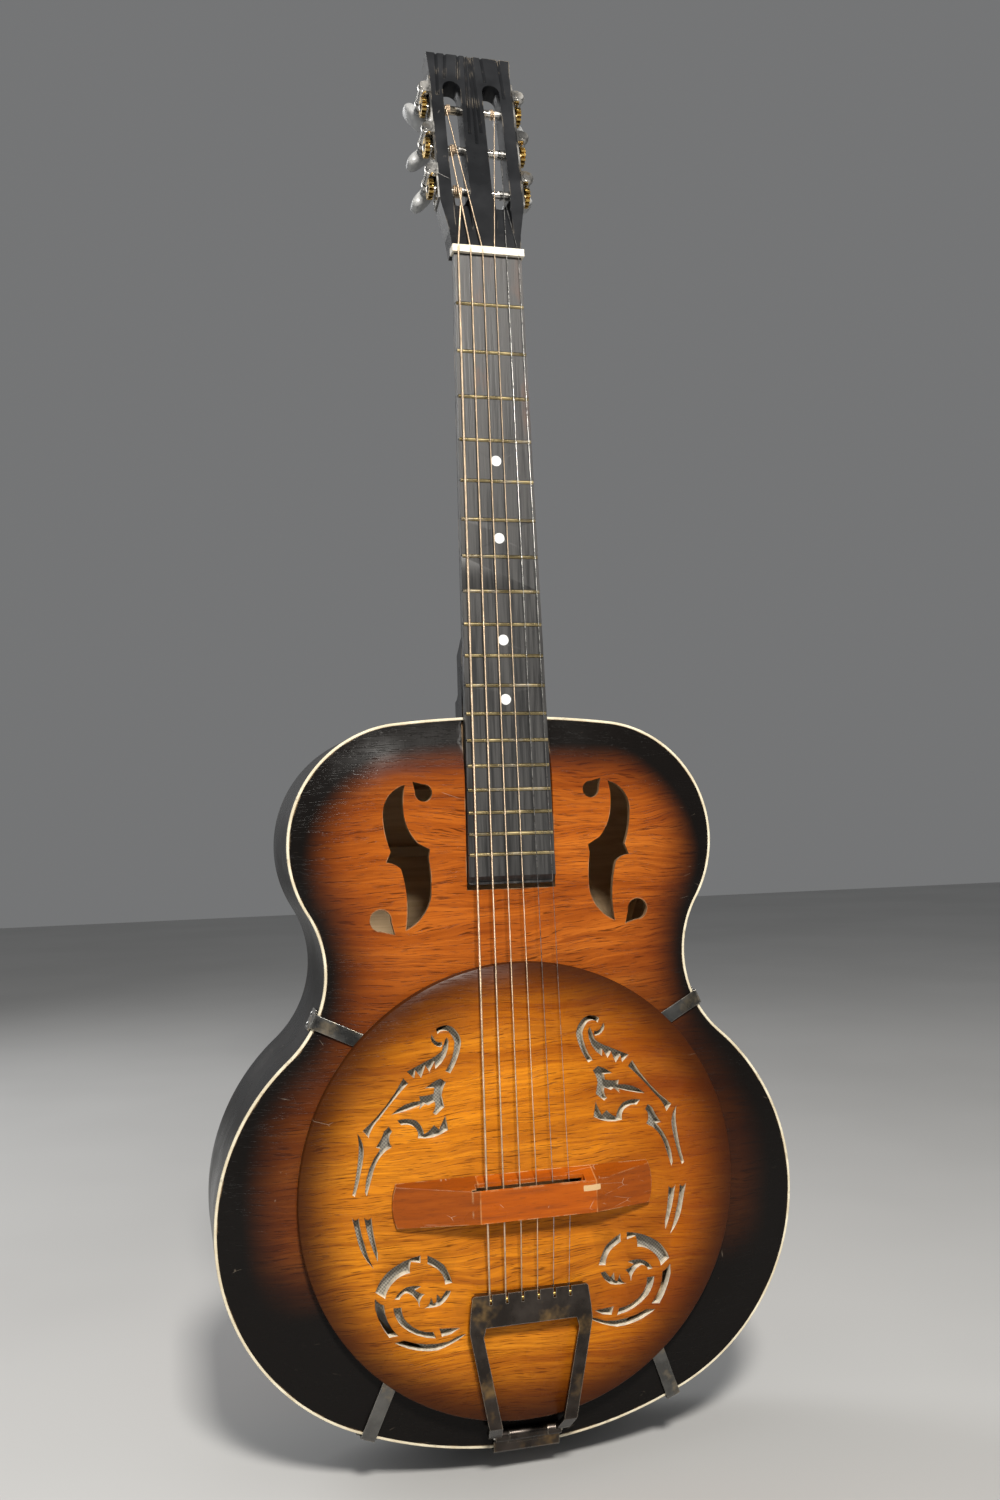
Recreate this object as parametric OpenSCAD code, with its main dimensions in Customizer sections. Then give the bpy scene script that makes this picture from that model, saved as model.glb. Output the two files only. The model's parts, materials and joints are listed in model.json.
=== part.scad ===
// Wood-bodied resonator guitar, twelve frets clear of the body.
// Drawn lying on its back: x across the strings, y along the neck towards the head,
// z out of the front. The last step stands it upright with the front facing -y.

/* [Body] */
// length of the body, tail end to neck joint
body_len = 475; // [471:1:479]
// width across the lower bout
lower_w = 391; // [389:1:395]
// width across the upper bout
upper_w = 292; // [288:1:296]
// depth of the body at its edges
body_depth = 100; // [92:1:108]
// rise of the arched front above its edge
front_rise = 8; // [6:0.5:8.5]
// swell of the arched back beyond its edge
back_rise = 8; // [5:0.5:10]
// thickness of the front and back plates
plate_t = 4; // [3.5:0.1:4.5]
// thickness of the bent sides
side_t = 3; // [2.6:0.1:3.4]

/* [Strings and neck] */
// string length from nut to saddle
scale_len = 635; // [630:1:640]
// height of the front of the saddle above the body edge
saddle_top = 26.5; // [26:0.1:27.2]
// lean of the neck back from the plane of the front, degrees
neck_lean = 2.06; // [1.9:0.02:2.2]
// lean of the head back from the neck, degrees
head_lean = 11.4; // [10:0.2:13]
// thickness of the head
head_t = 15; // [14.6:0.1:15.4]
// thickness of the fingerboard
board_t = 6; // [5.6:0.1:6.4]
// width of the fingerboard at the nut
nut_w = 47.6; // [47:0.1:48.4]
// width of the fingerboard at its lower end
board_end_w = 59; // [58:0.2:60]

/* [Resonator] */
// radius of the round wooden cover
cover_r = 145; // [143:0.5:146]
// thickness of the round wooden cover
cover_t = 6.5; // [6:0.1:7]
// radius of the metal cone
cone_r = 120; // [118:0.5:121]

/* [Tuners] */
// distance between neighbouring string rollers
roller_gap = 35; // [34.5:0.1:35.5]
// radius of a string roller
roller_r = 3; // [2.7:0.1:3.2]
// teeth on each tuner gear
gear_teeth = 14; // [12:1:15]

/* [Hidden] */
$fn = 72;
fret_count = 18;
nut_len = 5;
string_count = 6;

// ---- body outline: tangent arcs ----
lower_r = 140;
upper_r = 81;
waist_r = 72;
lower_c = [lower_w / 2 - lower_r, 151.5];
upper_c = [upper_w / 2 - upper_r, body_len - 84.5];
upper_h = body_len - upper_c[1];
tail_r = (pow(lower_c[0], 2) + pow(lower_c[1], 2) - pow(lower_r, 2)) / (2 * (lower_c[1] - lower_r));
tail_c = [0, tail_r];
neck_r = (pow(upper_c[0], 2) + pow(upper_h, 2) - pow(upper_r, 2)) / (2 * (upper_h - upper_r));
neck_c = [0, body_len - neck_r];
bout_gap = upper_c - lower_c;
bout_dist = norm(bout_gap);
waist_a = lower_r + waist_r;
waist_b = upper_r + waist_r;
waist_along = (pow(waist_a, 2) - pow(waist_b, 2) + pow(bout_dist, 2)) / (2 * bout_dist);
waist_off = sqrt(pow(waist_a, 2) - pow(waist_along, 2));
waist_c = lower_c + (waist_along * bout_gap + waist_off * [bout_gap[1], -bout_gap[0]]) / bout_dist;
function heading(v) = atan2(v[1], v[0]);
tail_a = heading(lower_c - tail_c);
low_waist_a = heading(waist_c - lower_c);
up_waist_a = heading(waist_c - upper_c);
neck_a = heading(upper_c - neck_c);

// ---- arch of the plates: overlapping low cones [x, y, radius at the edge] ----
swell_run = 36;
swells = [[25, 163, 157], [48, 387, 84], [0, 387, 84], [0, 312, 96]];
binding_w = 2.5;

// ---- heights, measured from the front edge of the body ----
strap_t = 1.5;
cover_z = front_rise + strap_t;
cover_top = cover_z + cover_t;
board_z = 8.5;
joint_y = body_len + 1;
nut_v = scale_len / 2;
board_low_v = -112.5;
saddle_y = joint_y - scale_len / 2 + 0.5;
cone_y = saddle_y + 3.5;
cover_y = saddle_y + 8.5;
tail_string_y = 104.5;
tail_string_z = 21.5;
hinge = [10.5, 5.5];
cone_floor = -17.5;
biscuit_z = 2.5;
biscuit_t = 6;

// ---- tuners, measured in the head's own frame ----
first_roller = 52;
roller_depth = head_t / 2;
worm_off = 10.5;
tuner_x = 34.8;
head_half = 30;
fit = 0.05;

// ---- small helpers ----
function lerp(a, b, t) = a + (b - a) * t;
// points of an arc from a up to b, bulging to the left of travel by s
function bow(a, b, s, n = 4) = let (c = norm(b - a), u = (b - a) / c, w = [-u[1], u[0]])
  s == 0 ? [a] : let (h = 2 * atan(2 * s / c), r = c / (2 * sin(h)), m = (a + b) / 2 + w * (s - r))
  [for (i = [0:n - 1]) m + r * (w * cos(2 * h * i / n - h) + u * sin(2 * h * i / n - h))];
// closed outline from a list of [x, y, bulge of the edge that follows]
function outline_pts(q) = [for (i = [0:len(q) - 1]) let (a = q[i], b = q[(i + 1) % len(q)])
  each bow([a[0], a[1]], [b[0], b[1]], a[2])];
function turn_x(p, a) = [p[0], p[1] * cos(a) - p[2] * sin(a), p[1] * sin(a) + p[2] * cos(a)];
function neck_pt(p) = turn_x(p, -neck_lean) + [0, joint_y, board_z];
function head_pt(p) = neck_pt(turn_x(p, -head_lean) + [0, nut_v + nut_len, -1.5]);

module both_sides() {
  children();
  mirror([1, 0, 0]) children();
}
module along_x(len) rotate([90, 0, 90]) linear_extrude(len, center = true) children();
module neck_frame() translate([0, joint_y, board_z]) rotate([-neck_lean, 0, 0]) children();
module head_frame() neck_frame() translate([0, nut_v + nut_len, -1.5]) rotate([-head_lean, 0, 0])
  children();
module rod(a, b, r, over = 0) {
  d = b - a;
  translate(a) rotate([0, acos(d[2] / norm(d)), atan2(d[1], d[0])])
    translate([0, 0, -over]) cylinder(h = norm(d) + 2 * over, r = r, $fn = 12);
}
module drill_y(r, len) rotate([-90, 0, 0]) cylinder(h = len, r = r);
module drill_x(r, len) rotate([0, 90, 0]) cylinder(h = len, r = r);

// ---- body outline as a plan, drawn in by an inset ----
function arc(c, r, a0, a1, n) = [for (i = [0:n - 1])
  let (a = lerp(a0, a1, i / n)) c + r * [cos(a), sin(a)]];
function half_outline(inset) = concat(
  arc(tail_c, tail_r - inset, -90, tail_a, 6),
  arc(lower_c, lower_r - inset, tail_a, low_waist_a, 26),
  arc(waist_c, waist_r + inset, low_waist_a + 180, up_waist_a + 180, 14),
  arc(upper_c, upper_r - inset, up_waist_a, neck_a, 22),
  arc(neck_c, neck_r - inset, neck_a, 90, 3), [[0, body_len - inset]]);
module plan(inset = 0) {
  h = half_outline(inset);
  polygon(concat(h, [for (i = [len(h) - 2:-1:1]) [-h[i][0], h[i][1]]]));
}

// low swelling, mirrored about the centre line, begun a little below its own foot where dig is over zero
module swelling(h, drop, dig) translate([0, 0, -drop - dig]) for (c = swells)
  let (r = c[2], f = swell_run / h * dig)
  for (x = c[0] > 0 ? [-c[0], c[0]] : [0]) translate([x, c[1], 0])
    cylinder(h = h + dig, r1 = r + f, r2 = r - swell_run, $fn = 144);
// arched plate of even thickness
module arch_plate(h, edge) difference() {
  union() {
    translate([0, 0, -plate_t]) linear_extrude(plate_t) plan(edge);
    swelling(h, 0, 0);
  }
  swelling(h, plate_t, 1);
}

// ---- openings in the front ----
f_body = [[69.5, 430, 4], [84.5, 412, 1.2], [80, 387, 0], [83, 380, -1], [73.5, 375.5, -2.3],
  [71.3, 336, 3.4], [54, 357, 0.7], [55, 382, 0], [54, 387.5, 0], [62, 392, -2.2], [71, 414, -0.8]];
module f_holes() both_sides() translate([0, 0, -20]) linear_extrude(40) {
  polygon(outline_pts(f_body));
  translate([57.3, 424.5]) circle(r = 5.7);
  polygon([[64.5, 432], [54.5, 429.3], [62.3, 422]]);
  translate([87.6, 343]) circle(r = 7);
  polygon([[78.5, 333.5], [82, 347], [90.2, 336.8]]);
}

module board_bed() neck_frame() translate([0, 0, -board_t]) linear_extrude(board_t)
  polygon([[-30.2, board_low_v - 0.7], [30.2, board_low_v - 0.7], [29, 10], [-29, 10]]);

module soundboard() color("chocolate") difference() {
  arch_plate(front_rise, binding_w);
  translate([0, cone_y, -20]) cylinder(h = 40, r = cone_r + 4, $fn = 144);
  f_holes();
  board_bed();
}
module back() color("saddlebrown") translate([0, 0, -body_depth]) mirror([0, 0, 1])
  arch_plate(back_rise, 0);

// ---- sides, binding and linings ----
tenon = [24, 18, 62];
module tenon_block() translate([-tenon[0] / 2, body_len - tenon[1], -8 - tenon[2]])
  cube([tenon[0], tenon[1] + 2, tenon[2]]);
module rim_band(out, in, z0, z1) translate([0, 0, z0]) linear_extrude(z1 - z0) difference() {
  plan(out);
  plan(in);
}
module half(sign) translate([sign > 0 ? 0 : -250, -50, -body_depth - 50])
  cube([250, 600, body_depth + 100]);
module side_half(sign) difference() {
  intersection() {
    rim_band(0, side_t, plate_t - body_depth, -plate_t);
    half(sign);
  }
  tenon_block();
  clip_screw_shanks();
  tail_fixings();
}
module side_bass() color([0.06, 0.05, 0.05]) side_half(-1);
module side_treble() color([0.06, 0.05, 0.05]) side_half(1);
module front_binding() color("ivory") rim_band(0, binding_w, -plate_t, 0);
lining_w = 6;
lining_h = 12;
module block_space() {
  translate([-46, body_len - 46, -body_depth]) cube([92, 60, body_depth + 20]);
  translate([-36, -10, -body_depth]) cube([72, 31, body_depth + 20]);
}
module linings() color("burlywood") difference() {
  union() {
    rim_band(side_t, side_t + lining_w, -plate_t - lining_h, -plate_t);
    rim_band(side_t, side_t + lining_w, plate_t - body_depth, plate_t - body_depth + lining_h);
  }
  block_space();
}
module neck_block() color("tan") difference() {
  intersection() {
    translate([0, 0, plate_t - body_depth]) linear_extrude(body_depth - 2 * plate_t) plan(side_t);
    translate([-45, body_len - 45, -body_depth]) cube([90, 60, body_depth + 20]);
  }
  tenon_block();
}
module tail_block() color("tan") difference() {
  intersection() {
    translate([0, 0, plate_t - body_depth]) linear_extrude(body_depth - 2 * plate_t) plan(side_t);
    translate([-35, -10, -body_depth]) cube([70, 30, body_depth + 20]);
  }
  tail_fixings();
}
module braces() color("tan") {
  for (b = [[105, 130], [235, 70], [385, 80]])
    translate([-b[1], b[0] - 4, plate_t - body_depth - back_rise]) cube([2 * b[1], 8, 12]);
  translate([-58, 304, front_rise - plate_t - 11]) cube([116, 8, 11]);
}

// ---- resonator ----
well_t = 8;
module soundwell() color("tan") difference() {
  intersection() {
    translate([0, cone_y, 0]) rotate_extrude($fn = 144)
      polygon([[cone_r + 2, 10], [cone_r + 2 + well_t, 10], [cone_r + 2 + well_t, -46],
        [cone_r + 2, -46], [cone_r + 2, cone_floor - 5], [cone_r - 8, cone_floor - 5],
        [cone_r - 8, cone_floor], [cone_r + 2, cone_floor]]);
    along_x(300) polygon([[20, -50], [20, 0], [60, front_rise - plate_t - 0.1],
      [310, front_rise - plate_t - 0.1], [310, -50]]);
  }
  for (a = [22.5:45:359]) translate([0, cone_y, -35]) rotate([0, 90, a])
    translate([0, 0, cone_r - 4]) cylinder(h = 20, r = 8);
}
cone_line = [[cone_r - 0.5, cone_floor + 1], [cone_r - 9, cone_floor + 1], [cone_r - 12, cone_floor + 3],
  [80, -8], [74, -8], [70, -6], [64, -6], [60, -3.5], [30, 0.5], [26, biscuit_z - 1], [0, biscuit_z - 1]];
module cone() color("silver") translate([0, cone_y, 0]) rotate_extrude($fn = 144)
  polygon(concat([for (q = cone_line) q + [0, 1]],
    [for (i = [len(cone_line) - 1:-1:0]) cone_line[i]]));
module biscuit() color("burlywood") difference() {
  translate([0, cone_y, biscuit_z]) cylinder(h = biscuit_t, r = 30);
  saddle_blank();
}
module saddle_blank() translate([-34, saddle_y - 1.5, biscuit_z + 3])
  cube([68, 3, saddle_top - biscuit_z - 2.6]);
module saddle() color("wheat") difference() {
  saddle_blank();
  strings_all(0.04);
  both_sides() translate([26, saddle_y - 3, biscuit_z + 2.9]) cube([10, 6, biscuit_t + 1]);
}

// ---- cover cut-outs, measured from the centre of the cover ----
cuts = [
  // crook at the top, curl and saw-toothed leaf
  [[55, 105.5, -0.5], [48.5, 107.5, -1], [41.5, 103, -1], [39, 94.5, -1], [46.5, 77, 0], [49.5, 78.5, 1.5],
    [43, 96.5, 0.5], [47, 103.5, 0.5], [52, 104, 0], [54, 102.5, 0]],
  [[58, 102, 0], [58.5, 99.5, 1.5], [52, 94, 0], [51, 95, 0], [51.5, 97, -0.5], [55.5, 98, 0]],
  [[49, 98.5, 0], [48, 99.5, 0], [47, 97.5, -2.5], [56, 80.5, 0], [56.5, 85, 0], [60, 79, 0],
    [62.5, 83, 0], [65.5, 75.5, 0], [69, 80.5, 0], [70, 75.5, 0], [74.5, 80, 0], [60, 86.5, 0.5],
    [51.5, 91.5, 0]],
  // long bar
  [[77, 76, 0], [74, 72.5, 0.5], [92.5, 52.5, 1], [100, 41, 0], [103.5, 45.5, 2]],
  // leaf with a long tail
  [[62.5, 69, -0.5], [53, 74, 0], [49.5, 71.5, 0.5], [52.5, 63.5, 0], [51, 56, 0], [56.5, 51.5, 0],
    [58.5, 53, 1], [57, 60, 0], [61.5, 58, 0], [63.5, 59, 0], [67, 56, 0], [66.5, 58.5, -0.5],
    [85, 54, -2], [66.5, 61, 0], [67, 64, 0.5], [57.5, 65, 0], [57, 68.5, 0]],
  // wave
  [[81.5, 50, -1], [69.5, 49, -1], [64.5, 40, 0.5], [58, 45, 0], [54.5, 42, 0], [50.5, 50.5, 0],
    [49, 41.5, -2], [68.5, 38, 1], [70.5, 45, 1], [79, 47, 0]],
  // outer blade
  [[107, 44, -1.5], [103.5, 29.5, -0.5], [109.5, 5.5, 0], [111, 6.5, 0.5], [106.5, 31, 0.5]],
  // barbed arrow
  [[87, 46.5, 0], [85, 43.5, 0], [86.5, 41.5, 1], [85.5, 34, 2], [97.5, 20, 0], [102, 5, 0],
    [103, 7.5, -2.5], [92.5, 33.5, 0], [95.5, 34.5, 0.5], [90, 44, 0]],
  // two comma slots
  [[111.5, -7.5, 0], [108.5, -21.5, 1.5], [99, -39.5, -0.5], [104, -25, -0.5], [107.5, -8, -1.5]],
  [[104, -8, 1], [96, -36, 0], [96, -30.5, -0.5], [99.5, -8.5, -1.5]],
  // scroll: upper stretches
  [[98, -54.5, -1], [90, -43, -1.5], [69, -35, 0], [69, -39.5, 0], [75, -38, 0.5], [76, -45, 1],
    [86.5, -49.5, 1], [92, -59, 0]],
  [[64.5, -35.5, -0.5], [54, -42.5, -0.5], [49, -54, 0], [53.5, -54.5, 1.5], [59.5, -43.5, 0],
    [64.5, -40.5, 0]],
  // scroll: lower outer and inner bands, wedge
  [[98.5, -58.5, 0.5], [93, -63, 2], [84.5, -82.5, 0], [90, -83, -1], [98.5, -64.5, 0]],
  [[87, -65.5, 0], [82, -65.5, 1], [78.5, -75, 2], [62, -83, 0], [60.5, -87, -2], [82, -77, -1]],
  [[58, -81.5, 0], [45, -82.5, 0], [50.5, -85.5, 0], [56.5, -86.5, 0]],
  // long crescent under the scroll
  [[87, -86.5, 0], [80.5, -86, 2], [52, -90, -0.5], [40.5, -86.5, -1], [60, -94.5, -1.5], [82.5, -89, 0]],
  // leaf and teeth inside the scroll
  [[86, -60, -1], [78, -53.5, -0.5], [69, -54, 0], [73, -56, 0.5], [67, -59, 1], [70.5, -66, 1.5],
    [78, -57, 1], [83, -60.5, 0]],
  [[66.5, -67.5, 1], [63, -61.5, 0], [61.5, -65.5, 0], [59.5, -65, 0], [59, -60, 0], [56.5, -63, 0],
    [53, -58.5, 0], [50, -59, -1], [57, -67, -0.5]],
];
module cover() color("peru") difference() {
  translate([0, cover_y, cover_z]) rotate_extrude($fn = 180) polygon([[0, 0], [cover_r, 0],
    [cover_r, cover_t - 1.5], [cover_r - 0.5, cover_t - 0.5], [cover_r - 1.5, cover_t], [0, cover_t]]);
  both_sides() translate([0, cover_y, cover_z - 1]) linear_extrude(cover_t + 2)
    for (c = cuts) polygon(outline_pts(c));
  translate([-40, saddle_y - 7, cover_z - 1]) cube([80, 22, cover_t + 2]);
}
screen_r = 115.8;
module cover_screen() color("gray") difference() {
  translate([0, cover_y, cover_z - 0.8]) cylinder(h = 0.8, r = screen_r, $fn = 144);
  translate([-44, saddle_y - 10, cover_z - 2]) cube([88, 28, 4]);
}

// ---- handrest over the saddle ----
rest_y0 = saddle_y - 7.5;
rest_y1 = saddle_y + 19.5;
rest_top = cover_top + 13;
rest_end = 84;
module handrest() color("sienna") difference() {
  intersection() {
    translate([0, rest_y1 + 1, 0]) rotate([90, 0, 0]) linear_extrude(rest_y1 - rest_y0 + 2)
      polygon([[-rest_end - 3, cover_top], [-rest_end - 3, cover_top + 2.5], [-32, rest_top],
        [45, rest_top], [rest_end + 3, cover_top + 2.5], [rest_end + 3, cover_top]]);
    along_x(200) polygon([[rest_y0, cover_top], [rest_y0, rest_top + 1], [rest_y1 - 7.5, rest_top + 1],
      [rest_y1, cover_top]]);
    translate([0, 0, cover_top]) linear_extrude(30) polygon(outline_pts([[-rest_end, rest_y0, 0],
      [rest_end, rest_y0, -2.6], [rest_end, rest_y1, 0], [-rest_end, rest_y1, -2.6]]));
  }
  translate([-37, rest_y0 + 3.5, cover_top - 1]) cube([74, 17.5, 12.9]);
  translate([-34, rest_y1 - 10, cover_top + 6.5]) cube([72, 12, 5.4]);
  translate([-34, rest_y0 - 1, cover_top + 5]) cube([68, 6, 6.9]);
}

// ---- straps that carry the cover ----
strap_w = 9.5;
tab_w = 14;
strap_in = 58;
tab_gap = 0.5;
strap_line = [[-tab_gap - 0.1, 0.2], [1, 0.8], [38, front_rise + 0.1], [strap_in, front_rise + 0.1],
  [strap_in, cover_z], [38, cover_z], [1, strap_t + 0.6], [-tab_gap - 0.1, strap_t]];
// local frame at the body edge, x pointing inwards
module at_edge(c, r, a, turn) translate([c[0] + r * cos(a), c[1] + r * sin(a), 0]) rotate(a + turn)
  children();
upper_strap_a = 205;
lower_strap_a = -68.5;
module at_straps() both_sides() {
  at_edge(waist_c, waist_r, upper_strap_a, 0) children();
  at_edge(tail_c, tail_r, lower_strap_a, 180) children();
}
module strap() {
  rotate([90, 0, 0]) linear_extrude(strap_w, center = true) polygon(strap_line);
  translate([-tab_gap - strap_t, -strap_w / 2, -4]) cube([strap_t, strap_w, 4 + strap_t]);
  translate([-tab_gap - strap_t, -tab_w / 2, -19]) cube([strap_t, tab_w, 16]);
}
module shank(len) for (v = [-3.5, 3.5]) translate([-3, v, -11]) drill_x(1.1, len);
module clip_screw_shanks() at_straps() shank(5);
module cover_straps() color("gainsboro") difference() {
  at_straps() strap();
  clip_screw_shanks();
}
module body_screws() color("white") {
  at_straps() for (v = [-3.5, 3.5]) translate([-tab_gap - strap_t, v, -11]) {
    drill_x(1.1, 4);
    rotate([0, -90, 0]) screw_dome(2.2, 1.3);
  }
  for (q = bracket_holes) translate([q[0], -1.5, q[1]]) {
    drill_y(1.3, 7.5);
    rotate([90, 0, 0]) screw_dome(2.8, 1.6);
  }
}
module screw_dome(r, h) rotate_extrude($fn = 24) intersection() {
  translate([0, h - (r * r + h * h) / (2 * h)]) circle(r = (r * r + h * h) / (2 * h), $fn = 48);
  square([r, h]);
}

// ---- neck ----
cone_lift = 8;
shaft_r0 = 29.3;
shaft_r1 = 24.8;
shaft_len = 356;
module shaft_cone() translate([0, -1, cone_lift - board_t]) rotate([-90, 0, 0])
  cylinder(h = shaft_len, r1 = shaft_r0, r2 = shaft_r1, $fn = 96);
module head_plan() polygon([[-24.3, 0], [-25.5, 14], [-head_half, 38], [-head_half, 150], [-31, 165],
  [31, 165], [head_half, 150], [head_half, 38], [25.5, 14], [24.3, 0]]);
slot_x = 14.5;
slot_r = 6.5;
slot_low = 46;
slot_high = 134.5;
module head_slots() both_sides() translate([slot_x, 0, -head_t - 1]) linear_extrude(head_t + 2) {
  translate([-slot_r, slot_low]) square([2 * slot_r, slot_high - slot_low]);
  translate([0, slot_low]) circle(r = slot_r);
  translate([0, slot_high]) circle(r = slot_r);
}
module string_ramps() both_sides() translate([slot_x - 6, 14, 0]) rotate([-14.5, 0, 0]) cube([12, 27, 12]);
module roller_holes() both_sides() for (i = [0:2])
  translate([4, first_roller + i * roller_gap, -roller_depth]) drill_x(roller_r + 2 * fit, head_half);
reeds = [[-25, 128, 2, 38], [-19, 143, 5, 23], [-9, 143, 4, 23], [-4, 96, 1.5, 70], [0.5, 88, 0, 78],
  [4.5, 98, -2, 68], [11, 143, -4, 23], [24, 130, -3, 36]];
module reeding() for (g = reeds) translate([g[0], g[1], 0]) rotate([0, 0, -g[2]])
  rotate([0, 45, 0]) translate([-0.9, 0, -0.9]) cube([1.8, g[3], 1.8]);
heel_side = [[body_len, -4], [553, -4], [553, -88], [body_len, -88]];
heel_front = [[-28, 1], [28, 1], [24, -30], [17, -60], [13, -88], [-13, -88], [-17, -60], [-24, -30]];
heel_plan = [[-28, body_len], [28, body_len], [26.5, 500], [22, 530], [14.5, 553], [-14.5, 553],
  [-22, 530], [-26.5, 500]];
module heel() intersection() {
  along_x(80) difference() {
    polygon(heel_side);
    translate([553, -82]) circle(r = 60, $fn = 144);
  }
  translate([0, 600, 0]) rotate([90, 0, 0]) linear_extrude(150) polygon(heel_front);
  translate([0, 0, -100]) linear_extrude(120) polygon(heel_plan);
}
module neck() color([0.09, 0.06, 0.05]) difference() {
  union() {
    neck_frame() intersection() {
      shaft_cone();
      translate([-40, 0.5, -50]) cube([80, nut_v + nut_len - 0.5, 50 - board_t]);
    }
    intersection() {
      neck_frame() shaft_cone();
      head_frame() translate([-40, -4, -50]) cube([80, 60, 49.5]);
      neck_frame() translate([-40, nut_v, -50]) cube([80, 60, 50 - board_t]);
    }
    heel();
    tenon_block();
    head_frame() translate([0, 0, -head_t]) linear_extrude(head_t) head_plan();
  }
  translate([-40, body_len - 30, -4]) cube([80, 30, 30]);
  neck_frame() translate([-40, nut_v - 3, -board_t]) cube([80, 3 + nut_len, 10]);
  head_frame() {
    head_slots();
    string_ramps();
    roller_holes();
    reeding();
  }
  plate_screw_shanks();
}

// ---- fingerboard, frets, dots, nut ----
function fret_v(i) = nut_v - scale_len * (1 - pow(2, -i / 12));
function board_half(v) = lerp(nut_w, board_end_w, (nut_v - v) / (nut_v - board_low_v)) / 2;
tang_w = 0.6;
dots = [[5, 0.5], [7, 0.5], [10, 0.5], [12, 0.5]];
dot_r = 3.6;
module dot_holes(r) for (d = dots) translate([0, lerp(fret_v(d[0]), fret_v(d[0] - 1), d[1]), -1])
  cylinder(h = 1.02, r = r, $fn = 36);
module fingerboard() color([0.12, 0.11, 0.11]) neck_frame() difference() {
  translate([0, 0, -board_t]) linear_extrude(board_t) polygon(outline_pts([
    [-board_end_w / 2, board_low_v + 3, -0.9], [-board_end_w / 2 + 3, board_low_v, 0],
    [board_end_w / 2 - 3, board_low_v, -0.9], [board_end_w / 2, board_low_v + 3, 0],
    [nut_w / 2, nut_v, 0], [-nut_w / 2, nut_v, 0]]));
  translate([-40, board_low_v, 0]) rotate([-40, 0, 0]) translate([0, -8, -2.6]) cube([80, 12, 8]);
  for (i = [1:fret_count]) translate([-40, fret_v(i) - tang_w / 2, -2]) cube([80, tang_w, 3]);
  dot_holes(dot_r);
}
module frets() color("goldenrod") neck_frame() for (i = [1:fret_count])
  let (w = board_half(fret_v(i)) - 0.6)
  translate([0, fret_v(i), 0]) {
    intersection() {
      translate([-w, 0, -0.3]) drill_x(1.3, 2 * w);
      translate([-w - 1, -2, 0]) cube([2 * w + 2, 4, 2]);
    }
    translate([-w, -tang_w / 2, -2]) cube([2 * w, tang_w, 2]);
  }
module position_dots() color("white") neck_frame() dot_holes(dot_r);
nut_top = 3;
module nut() color("ivory") difference() {
  neck_frame() translate([-25.3, nut_v, -board_t]) cube([50.6, nut_len, board_t + nut_top]);
  strings_all(0.04);
}

// ---- strings: low E to high E ----
string_r = [0.66, 0.53, 0.41, 0.32, 0.22, 0.17];
roller_of = [0, 1, 2, 2, 1, 0];
roller_side_x = [-13, -18.5, -19, 17, 19, 17];
nut_pitch = 8.5;
saddle_pitch = 11;
tail_pitch = 10.5;
function spread(i, pitch) = (i - (string_count - 1) / 2) * pitch;
function string_pts(i) = let (r = string_r[i]) [
  head_pt([roller_side_x[i], first_roller + roller_of[i] * roller_gap, roller_r + r + fit - roller_depth]),
  neck_pt([spread(i, nut_pitch), nut_v + nut_len / 2, nut_top - 0.8 + r]),
  [spread(i, saddle_pitch), saddle_y, saddle_top + r],
  [spread(i, tail_pitch), tail_string_y - 2, tail_string_z]];
module string_run(i, grow = 0) {
  q = string_pts(i);
  r = string_r[i] + grow;
  for (k = [0:2]) rod(q[k], q[k + 1], r, r / 3);
}
module strings_all(grow) for (i = [0:string_count - 1]) string_run(i, grow);
module string_piece(i) {
  string_run(i);
  translate(string_pts(i)[3] + [-2, -1.2, 0]) drill_x(1.9, 4);
}
module string_1_low_e() color("burlywood") string_piece(0);
module string_2_a() color("burlywood") string_piece(1);
module string_3_d() color("burlywood") string_piece(2);
module string_4_g() color("burlywood") string_piece(3);
module string_5_b() color("silver") string_piece(4);
module string_6_high_e() color("silver") string_piece(5);

// ---- trapeze tailpiece ----
tail_side = [[106.2, 25], [84, 25], [22, 22], [13, 12], [hinge[0] + 0.5, hinge[1] + 3.5],
  [hinge[0] + 3.5, hinge[1]], [16.5, 10.5], [23.5, 19.2], [84, 22.2], [106.2, 22.2]];
tail_outer = [[36, 106.2, 1], [38.5, 103.5, 0.3], [40.5, 84, 0], [25.5, 4, 0], [-25.5, 4, 0],
  [-40.5, 84, 0.3], [-38.5, 103.5, 1], [-36, 106.2, 0]];
tail_inner = [[30, 86, 0], [31.5, 80, 0], [16.5, 3, 0], [-16.5, 3, 0], [-31.5, 80, 0], [-30, 86, 0]];
knuckle_r = 3.6;
rod_r = 2;
module tailpiece() color("dimgray") difference() {
  union() {
    intersection() {
      along_x(100) polygon(tail_side);
      linear_extrude(40) difference() {
        polygon(outline_pts(tail_outer));
        polygon(outline_pts(tail_inner));
      }
    }
    translate([-36, 105, 19.3]) cube([72, 1.2, 5]);
    both_sides() translate([13, hinge[0], hinge[1]]) drill_x(knuckle_r, 9);
  }
  translate([-30, 86, 20]) cube([60, 19, 3.8]);
  translate([-30, hinge[0], hinge[1]]) drill_x(rod_r, 60);
  for (i = [0:string_count - 1]) translate([spread(i, tail_pitch) - 0.8, 100, tail_string_z - 0.8])
    cube([1.6, 10, 6]);
}
module hinge_rod() color("silver") translate([-23, hinge[0], hinge[1]]) drill_x(rod_r, 46);
bracket_holes = [[-14, -14], [14, -14], [0, -34]];
module tail_fixings() {
  for (q = bracket_holes) translate([q[0], -2.9, q[1]]) drill_y(1.3, 9);
  translate([0, -1, -62]) drill_y(4, 22);
}
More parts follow.
